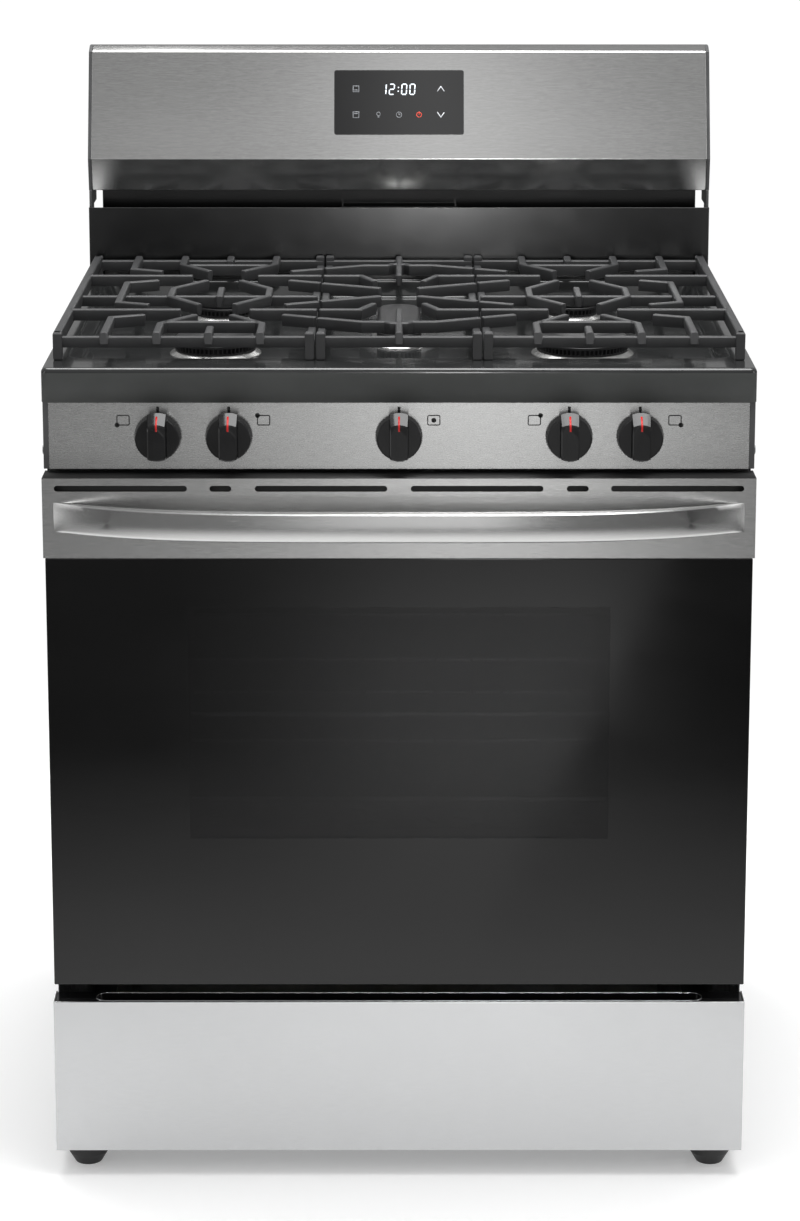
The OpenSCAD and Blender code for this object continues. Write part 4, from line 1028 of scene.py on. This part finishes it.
def studio():
    """White surround for the eye and for diffuse light; a dim studio with soft boxes for reflections.

    The soft boxes are blobs in the slopes p (sideways) and q (upwards) of a direction that leaves the front.
    """
    world = bpy.data.worlds.new("studio")
    bpy.context.scene.world = world
    world.use_nodes = True
    g = Tree(world.node_tree)
    direction = g.node("TexCoord").outputs["Generated"]
    x, y, z = (g.node("SeparateXYZ", {0: direction}).outputs[i] for i in range(3))
    ahead = g.maths("MAXIMUM", g.maths("MULTIPLY", y, -1.0), 0.02)
    p, q = g.maths("DIVIDE", x, ahead), g.maths("DIVIDE", z, ahead)
    front = g.span(y, 1.0, 0.0, (-0.25, 0.0))

    def blob(p0, q0, wide, tall, level):
        across = g.maths("POWER", g.maths("DIVIDE", g.maths("SUBTRACT", p, p0), wide), 2.0)
        along = g.maths("POWER", g.maths("DIVIDE", g.maths("SUBTRACT", q, q0), tall), 2.0)
        fall = g.maths("EXPONENT", g.maths("MULTIPLY", g.maths("ADD", across, along), -1.0))
        return g.maths("MULTIPLY", g.maths("MULTIPLY", fall, level), front)

    glow = g.maths("ADD", g.span(q, 0.08, 0.30, (-0.25, -0.17)), g.span(z, 0.0, 0.12, (0.0, 1.0)))
    for spot in SOFT_BOXES:
        glow = g.maths("ADD", glow, blob(*spot))
    # the flag is seen in the door as a slanting edge
    (p1, q1), (p2, q2) = FLAG_EDGE
    slope = (p2 - p1) / (q2 - q1)
    line = g.maths("ADD", g.maths("MULTIPLY", g.maths("SUBTRACT", q, q1), slope), p1)
    beyond = g.span(g.maths("SUBTRACT", p, line), 0.0, FLAG_SHADE, (0.0, 0.002))
    flag = g.maths("MULTIPLY", beyond, g.span(q, 1.0, 0.0, (-0.24, -0.22)))
    glow = g.maths("MULTIPLY", glow, g.maths("SUBTRACT", 1.0, g.maths("MULTIPLY", flag, front)))
    studio_light = g.node("Background", {"Color": grey(1.0), "Strength": glow})
    white = g.node("Background", {"Color": grey(1.0), "Strength": SURROUND})
    sky = g.node("Background", {"Color": grey(1.0), "Strength": g.span(z, *FILL, (-0.1, 1.0))})
    path = g.node("LightPath").outputs
    light = g.node("MixShader", {0: path["Is Glossy Ray"], 1: sky.outputs[0], 2: studio_light.outputs[0]})
    both = g.node("MixShader", {0: path["Is Camera Ray"], 1: light.outputs[0], 2: white.outputs[0]})
    g.put(g.node("OutputWorld").inputs[0], both.outputs[0])
    area_light("top", (0.1, 0.1, 3.4), (0, 0, 0.9), (3.2, 1.6), 102)
    area_light("strip", (0.31, -8.0, 1.9), (0, -0.3, 0.5), (0.36, 2.6), 38)
    # the patch of light on the lower backguard panel, which no other piece receives
    guard_glow = area_light("guard_glow", (0.06, -0.7, 1.0), (0, 0.28, 0.95), (0.10, 0.06), 4.8)
    receivers = bpy.data.collections.new("glow_receivers")
    receivers.objects.link(NODES["backguard_panel"])
    guard_glow.light_linking.receiver_collection = receivers
    bpy.context.scene.view_settings.view_transform = "Standard"
    bpy.context.scene.view_settings.look = "None"


def camera():
    data = bpy.data.cameras.new("camera")
    data.sensor_width = 36.0
    data.lens = 99.19
    data.shift_y = -0.18
    data.shift_x = 0.0008
    data.clip_start, data.clip_end = 0.05, 200.0
    made = bpy.data.objects.new("camera", data)
    bpy.context.scene.collection.objects.link(made)
    made.location = (0.0, -3.779, 1.599)
    made.rotation_euler = (math.radians(90 - 11.58), 0, 0)
    bpy.context.scene.camera = made


# ---------------------------------------------------------------- assembly

# how much the edges of the CAD's own sheet parts are rounded, and in how many steps
EDGE_ROUNDS = {
    "control_panel": (0.7, 2), "door_steel_strip": (0.7, 2), "drawer_front": (0.7, 2), "end_caps": (0.8, 2),
    "side_panel_left": (0.7, 2), "side_panel_right": (0.7, 2), "door_glass": (1.2, 3), "touch_glass": (0.4, 2),
    "backguard_panel": (0.7, 2), "drawer_pull": (1.2, 3), "door_frame": (0.5, 1), "door_liner": (0.8, 2),
    "drawer_box": (0.5, 1), "front_frame": (0.8, 1), "base_frame": (0.6, 1), "hinge_brackets": (0.8, 2),
    "console_cover": (0.6, 1), "oven_liner": (0.6, 1), "side_screws": (0.6, 2),
}


def dress_nodes():
    """Materials for the CAD's own parts, and rounded edges for the ones that show."""
    for name, look in NODE_LOOKS.items():
        for slot in NODES[name].material_slots:
            slot.material = M[look]
    for name, (width, segments) in EDGE_ROUNDS.items():
        soften(NODES[name], width, segments)


camera()
stage_floor()
studio()
dress_nodes()
cooktop()
burners()
grates()
handle()
black_sheets()
pull_highlight_bead()
knobs()
panel_marks()
console()
display()
